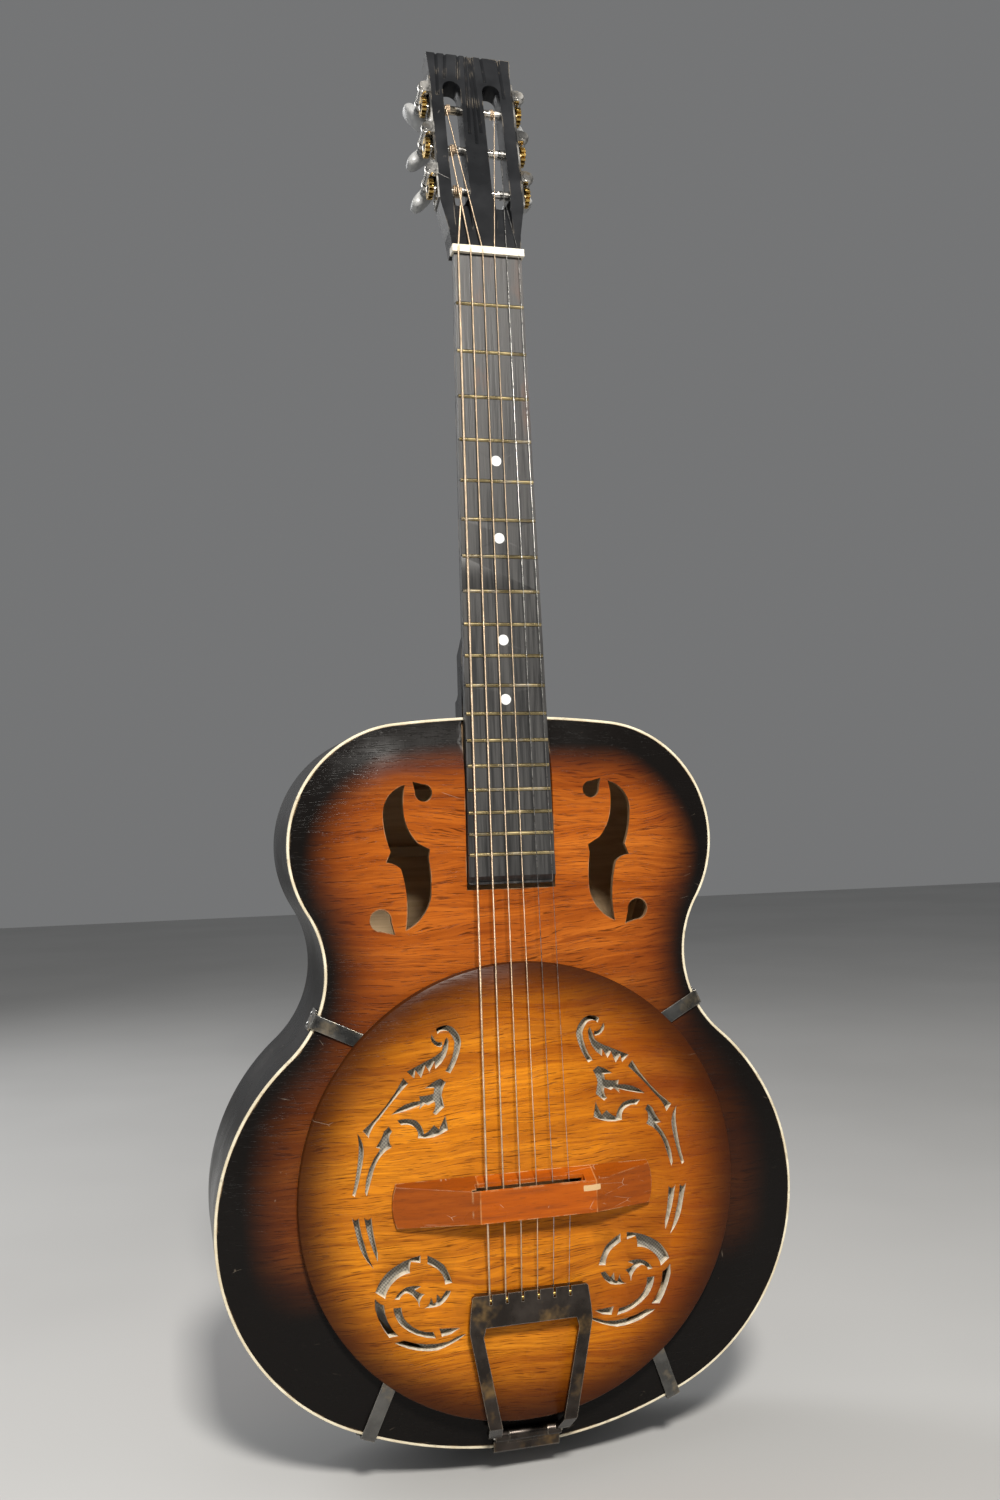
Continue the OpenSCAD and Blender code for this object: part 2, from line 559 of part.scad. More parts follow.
module tail_bracket() color("dimgray") difference() {
  union() {
    along_x(44) polygon([[-1.5, -46], [0, -46], [0, 1.2], [6, 1.2], [6, 3], [-0.5, 2.8], [-1.5, 1.8]]);
    along_x(25.2) polygon([[4, 1.2], [hinge[0], 1.2], [hinge[0], 3.4], [4, 3]]);
    translate([-12.6, hinge[0], hinge[1]]) drill_x(knuckle_r, 25.2);
  }
  translate([-30, hinge[0], hinge[1]]) drill_x(rod_r, 60);
  tail_fixings();
}
module end_pin() color([0.05, 0.05, 0.05]) translate([0, 0, -62]) {
  drill_y(4, 20);
  translate([0, -2, 0]) drill_y(8, 2);
  translate([0, -10, 0]) drill_y(5, 8);
  translate([0, -14, 0]) drill_y(7.5, 4);
}

// ---- tuners, drawn for the treble side in the head's frame ----
function roller_s(i) = first_roller + i * roller_gap;
ear_bore = 1.95;
plate_x = head_half;
plate_th = 1.2;
plate_screw_s = [[44, -3.2], [44, -11.8], [69.5, -11.8], [104.5, -11.8], [140, -3.2], [140, -11.8]];
module tuner_plate() difference() {
  union() {
    translate([plate_x, 40, -head_t]) cube([plate_th, 104, head_t]);
    for (i = [0:2]) translate([0, roller_s(i) + worm_off, 0]) {
      translate([plate_x, -4.5, -1.5]) cube([tuner_x - plate_x, 9, 3.6]);
      translate([tuner_x, 0, -1.5]) ear_dome();
      translate([plate_x, -4, -head_t - 2]) cube([tuner_x - plate_x, 8, 3]);
      translate([tuner_x, 0, -head_t - 2]) cylinder(h = 3, r = 4);
    }
  }
  for (i = [0:2]) {
    translate([tuner_x, roller_s(i) + worm_off, -head_t - 3]) cylinder(h = head_t + 4, r = ear_bore);
    translate([plate_x - 1, roller_s(i), -roller_depth]) drill_x(roller_r + fit, 4);
  }
  for (q = plate_screw_s) translate([plate_x - 1, q[0], q[1]]) drill_x(0.9, 4);
}
module ear_dome() rotate_extrude() intersection() {
  union() {
    square([4.5, 2.2]);
    translate([0, 1.2]) circle(r = 4.5, $fn = 48);
  }
  square([4.5, 4.2]);
}
module plate_screw_shanks() head_frame() both_sides() for (q = plate_screw_s)
  translate([plate_x - 5, q[0], q[1]]) drill_x(0.9, 6);
module tuner_plate_bass() color("gainsboro") head_frame() mirror([1, 0, 0]) tuner_plate();
module tuner_plate_treble() color("gainsboro") head_frame() tuner_plate();
module plate_screws() color("white") head_frame() both_sides() for (q = plate_screw_s)
  translate([plate_x + plate_th, q[0], q[1]]) {
    translate([-6, 0, 0]) drill_x(0.9, 6);
    rotate([0, 90, 0]) screw_dome(1.7, 0.9);
  }
thread_n = 6;
thread_p = 1.9;
module worm(i) translate([tuner_x, roller_s(i) + worm_off, 0]) {
  translate([0, 0, -30]) cylinder(h = 30.9, r = 1.9, $fn = 36);
  translate([0, 0, -13.5]) rotate_extrude($fn = 36) polygon(concat([[1, 0]],
    [for (k = [0:thread_n - 1]) each [for (q = [[3, 0], [3.6, 0.7], [3.6, 1.1]]) q + [0, k * thread_p]]],
    [[3, thread_n * thread_p], [1, thread_n * thread_p]]));
}
button_turn = [[-50, -42, 48], [25, 60, -35]];
module button(i, side) translate([tuner_x, roller_s(i) + worm_off, -22])
  rotate([0, 0, button_turn[side][i]])
  difference() {
    union() {
      translate([0, 0, -2]) cylinder(h = 2, r = 3, $fn = 36);
      intersection() {
        translate([0, 0, -8]) rotate([90, 0, 0]) linear_extrude(20, center = true) stadium(11, 6.5);
        translate([0, 0, -20]) linear_extrude(30) stadium(11, 4.2);
      }
    }
    translate([0, 0, -8]) cylinder(h = 10, r = 1.9, $fn = 36);
  }
module stadium(half_len, r) {
  square([2 * (half_len - r), 2 * r], center = true);
  translate([half_len - r, 0]) circle(r = r, $fn = 48);
  translate([r - half_len, 0]) circle(r = r, $fn = 48);
}
gear_w = 3.2;
gear_bore = 2;
module gear(i) translate([tuner_x - gear_w / 2, roller_s(i), -roller_depth]) difference() {
  union() {
    drill_x(5.8, gear_w);
    for (k = [0:gear_teeth - 1]) rotate([k * 360 / gear_teeth, 0, 0])
      translate([0, -0.7, 4]) cube([gear_w, 1.4, 2.8]);
  }
  translate([-1, 0, 0]) drill_x(gear_bore, gear_w + 2);
}
module roller(i) translate([0, roller_s(i), -roller_depth]) difference() {
  union() {
    translate([4.6, 0, 0]) drill_x(roller_r, tuner_x - gear_w / 2 - 4.6);
    translate([20, 0, 0]) drill_x(gear_bore, tuner_x + gear_w / 2 - 20);
    translate([tuner_x + gear_w / 2, 0, 0]) rotate([0, 90, 0]) screw_dome(3, 1.4);
  }
  translate([12.5, 0, -5]) cylinder(h = 10, r = 0.7, $fn = 24);
}
module bass_frame() head_frame() mirror([1, 0, 0]) children();
module worm_1() color("silver") bass_frame() worm(0);
module worm_2() color("silver") bass_frame() worm(1);
module worm_3() color("silver") bass_frame() worm(2);
module worm_4() color("silver") head_frame() worm(2);
module worm_5() color("silver") head_frame() worm(1);
module worm_6() color("silver") head_frame() worm(0);
module button_1() color("whitesmoke") bass_frame() button(0, 0);
module button_2() color("whitesmoke") bass_frame() button(1, 0);
module button_3() color("whitesmoke") bass_frame() button(2, 0);
module button_4() color("whitesmoke") head_frame() button(2, 1);
module button_5() color("whitesmoke") head_frame() button(1, 1);
module button_6() color("whitesmoke") head_frame() button(0, 1);
module gear_1() color("goldenrod") bass_frame() gear(0);
module gear_2() color("goldenrod") bass_frame() gear(1);
module gear_3() color("goldenrod") bass_frame() gear(2);
module gear_4() color("goldenrod") head_frame() gear(2);
module gear_5() color("goldenrod") head_frame() gear(1);
module gear_6() color("goldenrod") head_frame() gear(0);
module roller_1() color("silver") bass_frame() roller(0);
module roller_2() color("silver") bass_frame() roller(1);
module roller_3() color("silver") bass_frame() roller(2);
module roller_4() color("silver") head_frame() roller(2);
module roller_5() color("silver") head_frame() roller(1);
module roller_6() color("silver") head_frame() roller(0);

// stand the guitar up with the origin in the neck just under the nut
origin_back = 15;
module upright() rotate([90, 0, 0]) translate([0, -joint_y - nut_v, origin_back]) children();

upright() soundboard();
upright() back();
upright() side_bass();
upright() side_treble();
upright() front_binding();
upright() linings();
upright() neck_block();
upright() tail_block();
upright() braces();
upright() soundwell();
upright() cone();
upright() biscuit();
upright() saddle();
upright() cover();
upright() cover_screen();
upright() handrest();
upright() cover_straps();
upright() body_screws();
upright() neck();
upright() fingerboard();
upright() frets();
upright() position_dots();
upright() nut();
upright() string_1_low_e();
upright() string_2_a();
upright() string_3_d();
upright() string_4_g();
upright() string_5_b();
upright() string_6_high_e();
upright() tailpiece();
upright() hinge_rod();
upright() tail_bracket();
upright() end_pin();
upright() tuner_plate_bass();
upright() tuner_plate_treble();
upright() plate_screws();
upright() worm_1();
upright() worm_2();
upright() worm_3();
upright() worm_4();
upright() worm_5();
upright() worm_6();
upright() button_1();
upright() button_2();
upright() button_3();
upright() button_4();
upright() button_5();
upright() button_6();
upright() gear_1();
upright() gear_2();
upright() gear_3();
upright() gear_4();
upright() gear_5();
upright() gear_6();
upright() roller_1();
upright() roller_2();
upright() roller_3();
upright() roller_4();
upright() roller_5();
upright() roller_6();
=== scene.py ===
import json
import math
import bpy
import bmesh
import numpy as np
from mathutils import Matrix, Vector, geometry


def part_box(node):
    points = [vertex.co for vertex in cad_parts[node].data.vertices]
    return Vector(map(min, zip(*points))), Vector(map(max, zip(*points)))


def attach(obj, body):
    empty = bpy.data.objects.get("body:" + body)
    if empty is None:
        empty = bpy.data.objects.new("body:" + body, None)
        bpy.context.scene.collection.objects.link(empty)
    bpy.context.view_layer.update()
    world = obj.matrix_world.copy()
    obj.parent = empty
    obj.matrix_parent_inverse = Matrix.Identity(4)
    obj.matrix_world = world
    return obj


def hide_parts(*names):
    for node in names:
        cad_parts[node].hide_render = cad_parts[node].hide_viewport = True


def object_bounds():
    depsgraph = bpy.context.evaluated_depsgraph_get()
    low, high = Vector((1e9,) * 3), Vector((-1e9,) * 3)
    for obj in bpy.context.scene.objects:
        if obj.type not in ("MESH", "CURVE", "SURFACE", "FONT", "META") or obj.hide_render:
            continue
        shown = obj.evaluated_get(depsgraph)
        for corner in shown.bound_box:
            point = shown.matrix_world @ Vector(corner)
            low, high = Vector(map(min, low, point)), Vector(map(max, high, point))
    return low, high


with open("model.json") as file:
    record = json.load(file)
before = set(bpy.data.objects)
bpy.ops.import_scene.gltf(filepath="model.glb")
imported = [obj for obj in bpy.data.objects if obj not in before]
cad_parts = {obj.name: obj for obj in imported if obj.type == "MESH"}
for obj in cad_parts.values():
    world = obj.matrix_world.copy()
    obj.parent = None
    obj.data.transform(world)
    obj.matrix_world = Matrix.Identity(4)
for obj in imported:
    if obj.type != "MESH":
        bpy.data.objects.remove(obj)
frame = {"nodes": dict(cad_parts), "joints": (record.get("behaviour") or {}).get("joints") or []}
CAD_BOX = [list(v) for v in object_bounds()]
scene = bpy.context.scene
scene.view_settings.view_transform = "Standard"

# ---------------------------------------------------------------- datum, read from the frame
b_lo, b_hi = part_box("front_binding")
TAIL_Z, NECK_Z, FRONT_Y = b_lo.z, b_hi.z, b_lo.y
NUT_Z = NECK_Z + 0.3185  # the nut, 318.5 mm above the neck end of the body
MM = 0.001


def P(x, y, z):
    """Body measure in mm (x across, y up from the tail, z out of the front) to the row frame."""
    return Vector((x * MM, FRONT_Y - z * MM, TAIL_Z + y * MM))


# ---------------------------------------------------------------- camera, lights, floor
# The camera stands left of the guitar, level with its upper bout, and looks slightly upwards.
CAM_POS = Vector((-0.2222, -0.8609, -0.3930))
LOOK = Vector((0.2505, 0.9663, 0.0591)).normalized()
TILTED = Vector((0.0150, -0.0649, 0.9978))
UP = (TILTED - LOOK * TILTED.dot(LOOK)).normalized()
cam_data = bpy.data.cameras.new("camera")
cam_data.lens = 31.38
cam_data.sensor_width = 36.0
cam_data.clip_start = 0.05
cam_data.clip_end = 50.0
cam = bpy.data.objects.new("camera", cam_data)
scene.collection.objects.link(cam)
scene.camera = cam
aim = Matrix((LOOK.cross(UP), UP, -LOOK)).transposed().to_4x4()
aim.translation = CAM_POS
cam.matrix_world = aim


def area(name, loc, target, size, power, color=(1, 1, 1), mirrored=True):
    """A rectangular lamp; mirrored says whether glossy surfaces reflect it."""
    d = bpy.data.lights.new(name, "AREA")
    d.shape = "RECTANGLE"
    d.size, d.size_y = size
    d.energy = power
    d.color = color
    o = bpy.data.objects.new(name, d)
    o.visible_glossy = mirrored
    scene.collection.objects.link(o)
    o.location = loc
    o.rotation_euler = (Vector(target) - Vector(loc)).to_track_quat("-Z", "Y").to_euler()


area("key", (-0.12, -1.5, 0.80), (0, 0, -0.45), (0.30, 0.30), 52, (1.0, 0.96, 0.90))
area("fill_left", (-1.7, -1.7, 0.0), (0, 0, -0.5), (1.0, 1.4), 5, (0.97, 0.98, 1.0), False)
area("fill_right", (1.8, -1.3, 0.3), (0, 0, -0.4), (0.8, 1.2), 3.5, (1.0, 0.98, 0.95), False)
area("top", (0.1, -0.3, 1.9), (0, 0, -0.3), (1.6, 1.0), 3, mirrored=False)
area("rim", (-1.2, 1.4, 0.6), (0, 0, -0.4), (0.8, 1.4), 18)

world = bpy.data.worlds.new("world")
scene.world = world
world.use_nodes = True
bg = world.node_tree.nodes["Background"]
bg.inputs["Color"].default_value = (0.80, 0.81, 0.82, 1)
bg.inputs["Strength"].default_value = 0.22


# ---------------------------------------------------------------- node helpers
class Mat:
    """A small builder for one node material."""

    def __init__(self, name):
        self.m = bpy.data.materials.new(name)
        self.m.use_nodes = True
        self.t = self.m.node_tree
        self.t.nodes.clear()
        self.out = self.t.nodes.new("ShaderNodeOutputMaterial")
        self.b = self.t.nodes.new("ShaderNodeBsdfPrincipled")
        self.t.links.new(self.b.outputs[0], self.out.inputs[0])
        self.tc = self.t.nodes.new("ShaderNodeTexCoord")
        self.obj = self.tc.outputs["Object"]

    def node(self, kind, **props):
        n = self.t.nodes.new(kind)
        for k, v in props.items():
            setattr(n, k, v)
        return n

    def put(self, sock, v):
        if isinstance(v, bpy.types.NodeSocket):
            self.t.links.new(v, sock)
        elif isinstance(v, (tuple, list)):
            sock.default_value = tuple(v) if len(v) == len(sock.default_value) else (*v, 1)
        else:
            sock.default_value = v

    def set(self, **kw):
        for k, v in kw.items():
            self.put(self.b.inputs[k.replace("_", " ")], v)
        return self

    def scale(self, vec, s, loc=(0, 0, 0), rot=(0, 0, 0)):
        n = self.node("ShaderNodeMapping")
        self.put(n.inputs["Vector"], vec)
        n.inputs["Scale"].default_value = s
        n.inputs["Location"].default_value = loc
        n.inputs["Rotation"].default_value = rot
        return n.outputs[0]

    def noise(self, vec, scale, detail=4, rough=0.55, distort=0.0):
        n = self.node("ShaderNodeTexNoise")
        self.put(n.inputs["Vector"], vec)
        n.inputs["Scale"].default_value = scale
        n.inputs["Detail"].default_value = detail
        n.inputs["Roughness"].default_value = rough
        n.inputs["Distortion"].default_value = distort
        return n.outputs["Fac"]

    def voronoi(self, vec, scale, feature="F1", rnd=1.0):
        n = self.node("ShaderNodeTexVoronoi", feature=feature)
        self.put(n.inputs["Vector"], vec)
        n.inputs["Scale"].default_value = scale
        n.inputs["Randomness"].default_value = rnd
        return n.outputs["Distance"]

    def ramp(self, fac, stops):
        n = self.node("ShaderNodeValToRGB")
        e = n.color_ramp.elements
        while len(e) < len(stops):
            e.new(0.5)
        for el, (pos, col) in zip(e, stops):
            el.position = pos
            el.color = (*col, 1)
        self.put(n.inputs[0], fac)
        return n.outputs[0]

    def mix(self, fac, a, b):
        n = self.node("ShaderNodeMix", data_type="RGBA")
        self.put(n.inputs[0], fac)
        self.put(n.inputs[6], a)
        self.put(n.inputs[7], b)
        return n.outputs[2]

    def math(self, op, a, b=0.0):
        n = self.node("ShaderNodeMath", operation=op)
        self.put(n.inputs[0], a)
        self.put(n.inputs[1], b)
        return n.outputs[0]

    def times(self, a, b):
        return self.math("MULTIPLY", a, b)

    def plus(self, a, b):
        return self.math("ADD", a, b)

    def span(self, v, lo, hi, a=0.0, b=1.0):
        """A smooth step from a, where v is lo, to b, where v is hi."""
        n = self.node("ShaderNodeMapRange", interpolation_type="SMOOTHSTEP")
        self.put(n.inputs[0], v)
        for i, x in enumerate((lo, hi, a, b)):
            self.put(n.inputs[i + 1], x)
        return n.outputs[0]

    def attr(self, name):
        return self.node("ShaderNodeAttribute", attribute_name=name).outputs["Fac"]

    def sep(self, vec):
        n = self.node("ShaderNodeSeparateXYZ")
        self.put(n.inputs[0], vec)
        return n.outputs

    def length_from(self, c):
        """Distance from a point, seen along the row's Y axis."""
        v = self.scale(self.obj, (1, 0, 1), (-c[0], 0, -c[2]))
        n = self.node("ShaderNodeVectorMath", operation="LENGTH")
        self.put(n.inputs[0], v)
        return n.outputs["Value"]

    def edge(self, radius, lo, hi):
        """Mask of convex edges, where wear shows first."""
        bv = self.node("ShaderNodeBevel", samples=4)
        bv.inputs["Radius"].default_value = radius
        geo = self.node("ShaderNodeNewGeometry")
        d = self.node("ShaderNodeVectorMath", operation="DOT_PRODUCT")
        self.put(d.inputs[0], bv.outputs[0])
        self.put(d.inputs[1], geo.outputs["Normal"])
        return self.span(self.math("SUBTRACT", 1.0, d.outputs["Value"]), lo, hi)

    def bump(self, h, dist=0.0003, strength=1.0):
        n = self.node("ShaderNodeBump")
        n.inputs["Distance"].default_value = dist
        n.inputs["Strength"].default_value = strength
        self.put(n.inputs["Height"], h)
        self.put(self.b.inputs["Normal"], n.outputs[0])

    def scratches(self, vec, scale, width=0.02, keep=0.62, turn=0.6):
        """Thin stray scratches: edges of a stretched cell pattern, thinned by noise."""
        total = None
        for i, (r, stretch) in enumerate(((turn, 3.5), (turn + 1.3, 2.5))):
            v = self.scale(vec, (1, 1, stretch), rot=(0, r, 0), loc=(i * 3.1, 0, i * 1.7))
            e = self.voronoi(v, scale, "DISTANCE_TO_EDGE")
            line = self.span(e, 0.0, width, 1.0, 0.0)
            gate = self.span(self.noise(v, scale * 0.9, 2), keep, keep + 0.06)
            line = self.times(line, gate)
            total = line if total is None else self.math("MAXIMUM", total, line)
        return total

    def wander(self, scale, reach):
        """Slow noise from -reach/2 to reach/2, which unsettles a border."""
        return self.times(self.math("SUBTRACT", self.noise(self.obj, scale, 3), 0.5), reach)

    def worn(self, col, bare, radius, edge, patch, keep, amount=1.0):
        """The bare colour along convex edges, where patches of noise have taken the finish off."""
        gone = self.span(self.noise(self.obj, *patch), *keep)
        share = self.times(self.edge(radius, *edge), self.times(gone, amount))
        return self.mix(share, col, bare)


def lacquer(mt, base, rough, coat=0.025, spec=0.09):
    """A thin clear finish, its shine kept low."""
    mt.set(Base_Color=base, Roughness=rough)
    mt.b.inputs["Coat Weight"].default_value = coat
    mt.b.inputs["Coat Roughness"].default_value = 0.12
    mt.b.inputs["Specular IOR Level"].default_value = spec


def figured(mt, dark, mid, light):
    """Figured plywood veneer with its grain across the body: colour, fine grain and pores."""
    wobble = mt.noise(mt.scale(mt.obj, (3, 3, 9)), 2.0, 3)
    warp = mt.node("ShaderNodeCombineXYZ")
    mt.put(warp.inputs[2], mt.times(mt.math("SUBTRACT", wobble, 0.5), 0.03))
    add = mt.node("ShaderNodeVectorMath", operation="ADD")
    mt.put(add.inputs[0], mt.obj)
    mt.put(add.inputs[1], warp.outputs[0])
    w = add.outputs[0]
    bands = mt.noise(mt.scale(w, (2.2, 2.2, 26)), 2.0, 5, 0.6)
    fine = mt.noise(mt.scale(w, (9, 9, 330)), 2.0, 4, 0.65)
    pore = mt.span(mt.noise(mt.scale(w, (45, 45, 1100)), 1.6, 2, 0.5), 0.57, 0.66)
    streak = mt.span(mt.noise(mt.scale(w, (4.5, 4.5, 85)), 2.0, 4, 0.6, 0.5), 0.53, 0.68)
    col = mt.ramp(bands, [(0.30, dark), (0.50, mid), (0.72, light)])
    col = mt.mix(mt.span(fine, 0.38, 0.62), mt.mix(0.50, col, dark), col)
    col = mt.mix(mt.times(streak, 0.72), col, dark)
    col = mt.mix(mt.times(pore, 0.80), col, tuple(0.35 * c for c in dark))
    return col, fine, pore


BLACK = (0.006, 0.005, 0.0045)


def mat_sunburst(name, dark_tail):
    """Sunburst of front or back; the front's also darkens the tail and dims the lower bout."""
    mt = Mat(name)
    col, fine, pore = figured(mt, (0.20, 0.040, 0.005), (0.40, 0.098, 0.010), (0.52, 0.150, 0.018))
    wander = mt.wander(9, 16)
    x, _, z = mt.sep(mt.obj)
    from_waist = mt.math("ABSOLUTE", mt.math("SUBTRACT", z, TAIL_Z + 0.300))
    from_edge = mt.plus(mt.attr("edge_mm"), wander)
    from_edge = mt.plus(from_edge, mt.span(from_waist, 0.02, 0.16, 15, 0))
    burst = mt.span(from_edge, 16, 48)
    if dark_tail:
        tail = mt.span(mt.plus(z, mt.times(wander, 0.002)), TAIL_Z + 0.100, TAIL_Z + 0.152)
        low = mt.span(z, TAIL_Z + 0.235, TAIL_Z + 0.330, 1, 0)
        dim = mt.times(low, mt.span(x, -0.16, 0.13, 0.56, 0.86))
        burst = mt.times(mt.times(burst, tail), mt.math("SUBTRACT", 1.0, dim))
    col = mt.mix(mt.span(from_edge, 28, 74), mt.mix(0.55, col, (0.10, 0.016, 0.004)), col)
    col = mt.mix(burst, BLACK, col)
    long_lines = mt.scratches(mt.obj, 18, 0.010, 0.70)
    hair_lines = mt.scratches(mt.obj, 48, 0.016, 0.68, 1.1)
    lines = mt.math("MAXIMUM", long_lines, mt.times(hair_lines, 0.5))
    col = mt.mix(mt.times(lines, 0.38), col, (0.55, 0.45, 0.34))
    col = mt.worn(col, (0.42, 0.28, 0.15), 0.0012, (0.02, 0.25), (60, 3), (0.48, 0.60), 0.8)
    rough = mt.span(mt.noise(mt.obj, 28, 4), 0.3, 0.75, 0.20, 0.36)
    lacquer(mt, col, mt.plus(rough, mt.times(long_lines, 0.3)))
    checks = mt.noise(mt.scale(mt.obj, (900, 1, 6)), 1.0, 2)
    h = mt.plus(mt.times(fine, 0.25), mt.times(pore, -0.5))
    h = mt.plus(h, mt.times(checks, 0.22))
    h = mt.plus(h, mt.times(long_lines, -1.0))
    mt.bump(h, 0.00012, 0.8)
    return mt.m


def mat_cover():
    """Sunburst of the round cover: amber a little to one side, partly a painted highlight, redder around it,
    dark at the rim.
    """
    mt = Mat("cover_sunburst")
    col, fine, pore = figured(mt, (0.30, 0.080, 0.006), (0.58, 0.190, 0.009), (0.72, 0.262, 0.014))
    middle = P(0, 167, 0)
    # the amber middle of the sunburst is real, but its shift left and down is a painted highlight
    amber_highlight_at = (middle.x - 0.038, 0, middle.z - 0.006)
    from_middle = mt.times(mt.length_from(middle), 1000)
    from_amber_highlight = mt.times(mt.length_from(amber_highlight_at), 1000)
    wander = mt.wander(11, 18)
    warm = mt.span(mt.plus(from_amber_highlight, wander), 70, 165)
    col = mt.mix(mt.times(warm, 0.92), col, mt.mix(0.72, col, (0.20, 0.030, 0.002)))
    rim = mt.span(mt.plus(from_middle, mt.times(wander, 0.5)), 106, 147)
    col = mt.mix(mt.times(rim, 0.93), col, (0.030, 0.008, 0.003))
    col = mt.worn(col, (0.55, 0.42, 0.27), 0.0010, (0.02, 0.25), (70, 3), (0.50, 0.62), 0.85)
    lines = mt.scratches(mt.obj, 24, 0.010, 0.71, 0.2)
    col = mt.mix(mt.times(lines, 0.30), col, (0.60, 0.50, 0.36))
    lacquer(mt, col, mt.span(mt.noise(mt.obj, 30, 4), 0.3, 0.75, 0.22, 0.36))
    h = mt.plus(mt.times(fine, 0.35), mt.times(pore, -0.6))
    mt.bump(mt.plus(h, mt.times(lines, -0.8)), 0.00012, 0.8)
    return mt.m


def mat_ply(name="ply_edge", col=(0.76, 0.68, 0.54)):
    """Cut edge of plywood, its layers one behind the other."""
    mt = Mat(name)
    layers = mt.math("SINE", mt.times(mt.sep(mt.obj)[1], 3200.0))
    n = mt.noise(mt.scale(mt.obj, (150, 60, 150)), 2.0, 3)
    c = mt.mix(mt.span(n, 0.3, 0.7), tuple(v * 0.6 for v in col), col)
    c = mt.mix(mt.span(layers, 0.2, 0.9, 0, 0.3), c, (0.14, 0.08, 0.04))
    mt.set(Base_Color=c, Roughness=0.75)
    mt.bump(n, 0.0002, 0.6)
    return mt.m


def mat_bare(name, base, dark, grain_axis):
    """Unfinished wood, its grain along one axis."""
    mt = Mat(name)
    k = {"x": (7, 160, 160), "y": (160, 7, 160), "z": (160, 160, 7)}[grain_axis]
    a = mt.noise(mt.scale(mt.obj, k), 1.5, 5, 0.6)
    b = mt.noise(mt.obj, 18, 3)
    c = mt.mix(mt.span(a, 0.3, 0.7), dark, base)
    c = mt.mix(mt.span(b, 0.35, 0.75, 0, 0.35), c, dark)
    mt.set(Base_Color=c, Roughness=mt.span(a, 0.3, 0.7, 0.62, 0.78))
    mt.bump(a, 0.0002, 0.6)
    return mt.m


def mat_black(name, bare=(0.17, 0.09, 0.05), wear=0.6, rough=(0.22, 0.38), base=BLACK):
    """Black lacquer with fine scratches, rubbed through to bare colour along its edges."""
    mt = Mat(name)
    n = mt.noise(mt.obj, 22, 4)
    c = mt.mix(mt.span(n, 0.35, 0.7), base, tuple(v * 2.0 for v in base))
    long_lines = mt.scratches(mt.obj, 20, 0.010, 0.69)
    hair_lines = mt.scratches(mt.obj, 60, 0.016, 0.68, 1.3)
    lines = mt.math("MAXIMUM", long_lines, mt.times(hair_lines, 0.6))
    c = mt.mix(mt.times(lines, 0.35), c, (0.30, 0.27, 0.24))
    c = mt.worn(c, bare, 0.0014, (0.03, 0.3), (45, 4, 0.65), (0.50, 0.62), wear)
    lacquer(mt, c, mt.span(n, 0.3, 0.75, *rough), 0.03, 0.12)
    fine = mt.noise(mt.scale(mt.obj, (60, 60, 8)), 6, 4)
    mt.bump(mt.plus(mt.times(fine, 0.25), mt.times(long_lines, -1)), 0.0001, 0.7)
    return mt.m


def mat_metal(name, col, rough=(0.18, 0.4), tint=None, tint_at=(0.52, 0.66), scale=60, dark=0.5, edge=None):
    """Aged metal: clouded by its own darker shade, stained by a tint, brighter along worn edges."""
    mt = Mat(name)
    n = mt.noise(mt.obj, scale, 5, 0.6)
    fine = mt.noise(mt.obj, scale * 9, 3)
    c = mt.mix(mt.span(n, 0.35, 0.7), tuple(v * dark for v in col), col)
    if tint:
        c = mt.mix(mt.span(mt.noise(mt.obj, scale * 0.6, 4, 0.65), *tint_at), c, tint)
    if edge:
        c = mt.mix(mt.times(mt.edge(0.0009, 0.02, 0.3), 0.8), c, edge)
    r = mt.plus(mt.span(n, 0.3, 0.75, *rough), mt.times(fine, 0.06))
    mt.set(Base_Color=c, Metallic=1.0, Roughness=r)
    mt.bump(fine, 0.00005, 0.5)
    return mt.m


def mat_ivory(name, col, dark, rough=0.42):
    """Aged cream plastic or bone with small dark specks."""
    mt = Mat(name)
    n = mt.noise(mt.obj, 70, 4)
    spots = mt.span(mt.noise(mt.obj, 260, 3), 0.60, 0.72)
    c = mt.mix(mt.span(n, 0.35, 0.7), dark, col)
    c = mt.mix(mt.times(spots, 0.5), c, tuple(v * 0.4 for v in dark))
    mt.set(Base_Color=c, Roughness=mt.span(n, 0.3, 0.7, rough, rough + 0.15))
    mt.bump(n, 0.00008, 0.5)
    return mt.m


def mat_pearl(name, col, dark, rough=0.22, coat=0.4):
    """Pearly plastic, softly clouded."""
    mt = Mat(name)
    n = mt.noise(mt.obj, 220, 3, 0.5, 1.2)
    c = mt.mix(mt.span(n, 0.35, 0.7), dark, col)
    mt.set(Base_Color=c, Roughness=rough)
    mt.b.inputs["Coat Weight"].default_value = coat
    mt.b.inputs["Coat Roughness"].default_value = 0.08
    mt.b.inputs["Subsurface Weight"].default_value = 0.15
    mt.b.inputs["Subsurface Radius"].default_value = (0.003, 0.003, 0.003)
    mt.bump(n, 0.00006, 0.4)
    return mt.m


